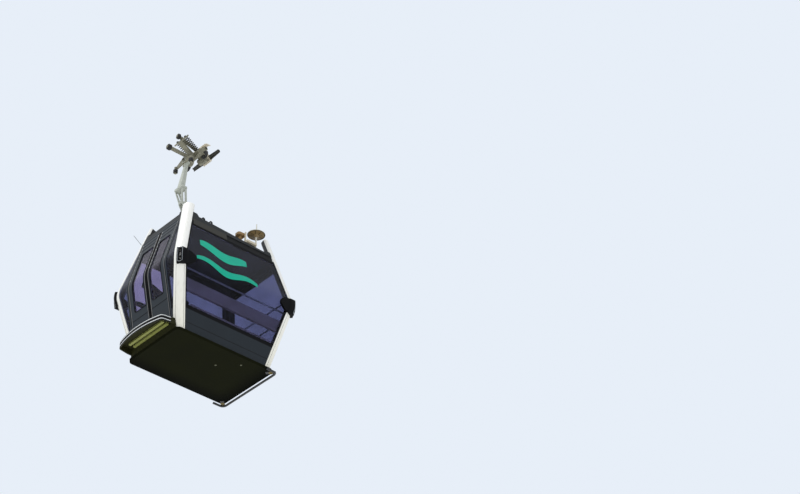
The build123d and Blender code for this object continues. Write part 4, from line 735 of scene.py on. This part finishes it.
# Bolts of the hanger: at the corners of the elbow plates, above and below, and on the suspension frame
ELBOW_BOLT = {"in_x": 0.022, "in_y": 0.018, "size": 0.012}
BEAM_BOLT = {"x": 0.09, "in_y": 0.05, "size": 0.014}
bm = bmesh.new()
low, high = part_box("elbow_plates")
for x in (low.x + ELBOW_BOLT["in_x"], high.x - ELBOW_BOLT["in_x"]):
    for y in (low.y + ELBOW_BOLT["in_y"], high.y - ELBOW_BOLT["in_y"]):
        bolt(bm, Vector((x, y, high.z)), UP, ELBOW_BOLT["size"])
        bolt(bm, Vector((x, y, low.z)), DOWN, ELBOW_BOLT["size"])
beam_low, beam_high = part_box("suspension_frame")
for y in (beam_low.y + BEAM_BOLT["in_y"], beam_high.y - BEAM_BOLT["in_y"]):
    for x in (-BEAM_BOLT["x"], BEAM_BOLT["x"]):
        bolt(bm, Vector((x, y, beam_high.z)), UP, BEAM_BOLT["size"])
piece("hanger_bolts", bm, RAIL, "hanger")

# Bolts of the grip: on the crosshead over each spring, on the hanger pin, and at both ends of the jaw pin
GRIP_BOLT = {"crosshead": 0.019, "hanger_pin": 0.016, "jaw_pin": 0.013, "above": 0.6}
crosshead = skin_of("grip_frame")
bm = bmesh.new()
for x in (-SPRING["spread"], SPRING["spread"]):
    top = land(crosshead, heel + sideways * x + climb * GRIP_BOLT["above"], -climb)
    bolt(bm, top, climb, GRIP_BOLT["crosshead"])
cap_low, cap_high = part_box("hanger_pin")
pin_middle = (cap_low + cap_high) / 2
bolt(bm, Vector((pin_middle.x, cap_low.y, pin_middle.z)), Vector((0, -1, 0)), GRIP_BOLT["hanger_pin"])
jaw_low, jaw_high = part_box("jaw_pin")
jaw_middle = (jaw_low + jaw_high) / 2
for side, x in ((1, jaw_high.x), (-1, jaw_low.x)):
    bolt(bm, Vector((x, jaw_middle.y, jaw_middle.z)), Vector((side, 0, 0)), GRIP_BOLT["jaw_pin"])
piece("grip_bolts", bm, COIL, "grip")

# Dish: ribs under the disc and a ring near its rim
DISH_RIB = {"inner": 0.045, "outer": 0.132, "stop": 0.015, "radius": 0.003}
DISH_RING = {"reach": 0.1335, "radius": 0.004}
DISH_BELOW = 0.30
dish_low, dish_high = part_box("roof_dish")
dish_middle = (dish_low + dish_high) / 2
dish_start = Vector((dish_middle.x, dish_middle.y, dish_high.z - DISH_BELOW))
dish_skin = skin_of("roof_dish")


def under_dish(turn, reach):
    """A point under the disc, at an angle in degrees and a distance from its middle."""
    ray = Vector((math.cos(math.radians(turn)), math.sin(math.radians(turn)), 0))
    return dish_start + ray * reach


bm = bmesh.new()
reaches = spaced(DISH_RIB["inner"], DISH_RIB["outer"], DISH_RIB["stop"])
for turn in range(0, 360, 45):
    starts = [under_dish(turn, reach) for reach in reaches]
    cast_tube(bm, dish_skin, starts, UP, DISH_RIB["radius"], sides=6)
starts = [under_dish(turn, DISH_RING["reach"]) for turn in range(0, 360, 12)]
cast_tube(bm, dish_skin, starts, UP, DISH_RING["radius"], closed=True)
piece("dish_ribs", bm, BLACK, "hanger")


# Seats: stuffed cushions and backs in place of the plain solids
STUFFING = {"weld": 1e-5, "voxel": 0.010, "pressure": 4.0, "stretch": 12.0, "bending": 0.4, "frames": 20,
            "limit": 0.012}


def evaluated(made):
    """A mesh with the modifiers of a piece applied."""
    graph = bpy.context.evaluated_depsgraph_get()
    return bpy.data.meshes.new_from_object(made.evaluated_get(graph))


def blown_up(made):
    """Where cloth under pressure carries the points of a piece."""
    cloth = made.modifiers.new("stuffing", "CLOTH")
    cloth.settings.use_pressure = True
    cloth.settings.uniform_pressure_force = STUFFING["pressure"]
    cloth.settings.effector_weights.gravity = 0.0
    cloth.settings.tension_stiffness = STUFFING["stretch"]
    cloth.settings.compression_stiffness = STUFFING["stretch"]
    cloth.settings.bending_stiffness = STUFFING["bending"]
    cloth.point_cache.frame_start = 1
    cloth.point_cache.frame_end = STUFFING["frames"]
    for frame_number in range(1, STUFFING["frames"] + 1):
        scene.frame_set(frame_number)
    moved = [v.co.copy() for v in evaluated(made).vertices]
    made.modifiers.clear()
    scene.frame_set(1)
    return moved


def stuffed(name, node, side, away):
    """A padded piece blown up from one solid of a node, flat where it rests and at the cabin's end."""
    bm = bmesh.new()
    bm.from_mesh(nodes[node].data)
    bmesh.ops.delete(bm, geom=[v for v in bm.verts if v.co.x * side < 0], context="VERTS")
    bmesh.ops.remove_doubles(bm, verts=bm.verts, dist=STUFFING["weld"])
    made = piece(name, bm, CLOTH, "hanger")
    remesh = made.modifiers.new("even", "REMESH")
    remesh.mode = "VOXEL"
    remesh.voxel_size = STUFFING["voxel"]
    even_mesh = evaluated(made)
    made.modifiers.clear()
    made.data = even_mesh
    rest = [v.co.copy() for v in even_mesh.vertices]
    moved = blown_up(made)
    for v, start, end in zip(even_mesh.vertices, rest, moved):
        shift = end - start
        if shift.length > STUFFING["limit"]:
            shift *= STUFFING["limit"] / shift.length
        pressed = shift.dot(away)
        if pressed < 0:
            shift -= away * pressed
        if shift.x * side > 0:
            shift.x = 0.0
        v.co = start + shift
    even_mesh.materials.clear()
    even_mesh.materials.append(CLOTH)
    even_mesh.shade_smooth()
    even_mesh.update()
    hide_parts(node)


for side, end in ((1, "front"), (-1, "rear")):
    stuffed("seat_cushion_" + end, "bench_cushions", side, UP)
    stuffed("seat_back_" + end, "backrests", side, Vector((-side, 0, 0)))


# Stage: a pale floor at the camera's level, soft light, and the photograph's camera
EYE = Vector((22.7966, -16.0397, -21.6013))
HEADING, PITCH, ROLL = math.radians(48.667), math.radians(35.7806), math.radians(0.1671)
SENSOR_WIDTH, FOCAL_LENGTH, SIGHT = 36.0, 102.184, 400.0
FLOOR = {"radius": 160.0, "below_eye": 0.05, "colour": (0.85, 0.85, 0.84, 1), "rough": 0.9}
LIGHTING_SKY, SEEN_SKY = (0.66, 0.68, 0.71, 1), (0.80, 0.86, 0.94, 1)
SUN = {"energy": 2.0, "width": math.radians(12), "way": Vector((0.15, 0.35, -1.0))}

floor_mesh = bpy.data.meshes.new("stage_floor")
bm = bmesh.new()
bmesh.ops.create_circle(bm, cap_ends=True, segments=96, radius=FLOOR["radius"])
bm.to_mesh(floor_mesh)
bm.free()
floor = bpy.data.objects.new("stage_floor", floor_mesh)
floor.location = (0, 0, EYE.z - FLOOR["below_eye"])
scene.collection.objects.link(floor)
floor_material, _, floor_shader = new_material("stage_floor")
floor_shader.inputs["Base Color"].default_value = FLOOR["colour"]
floor_shader.inputs["Roughness"].default_value = FLOOR["rough"]
floor_mesh.materials.append(floor_material)
floor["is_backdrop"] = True

world = bpy.data.worlds.new("studio")
scene.world = world
world.use_nodes = True
tree = world.node_tree
path = tree.nodes.new("ShaderNodeLightPath").outputs
seen = number_sum(tree, "MAXIMUM", path["Is Camera Ray"], path["Is Transmission Ray"])
feed(tree, tree.nodes["Background"].inputs["Color"], mixed(tree, seen, LIGHTING_SKY, SEEN_SKY))

sun = bpy.data.lights.new("key", "SUN")
sun.energy = SUN["energy"]
sun.angle = SUN["width"]
key = bpy.data.objects.new("key", sun)
key.rotation_euler = SUN["way"].to_track_quat("-Z", "Y").to_euler()
scene.collection.objects.link(key)

lens = bpy.data.cameras.new("camera")
lens.sensor_width = SENSOR_WIDTH
lens.lens = FOCAL_LENGTH
lens.clip_end = SIGHT
camera = bpy.data.objects.new("camera", lens)
ahead = Vector((-math.sin(HEADING) * math.cos(PITCH), math.cos(HEADING) * math.cos(PITCH), math.sin(PITCH)))
right = Vector((math.cos(HEADING), math.sin(HEADING), 0))
up = right.cross(ahead)
turn = Matrix((right, up, -ahead)).transposed() @ Matrix.Rotation(ROLL, 3, "Z")
camera.matrix_world = Matrix.Translation(EYE) @ turn.to_4x4()
scene.collection.objects.link(camera)
scene.camera = camera
scene.view_settings.view_transform = "Standard"

low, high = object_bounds()
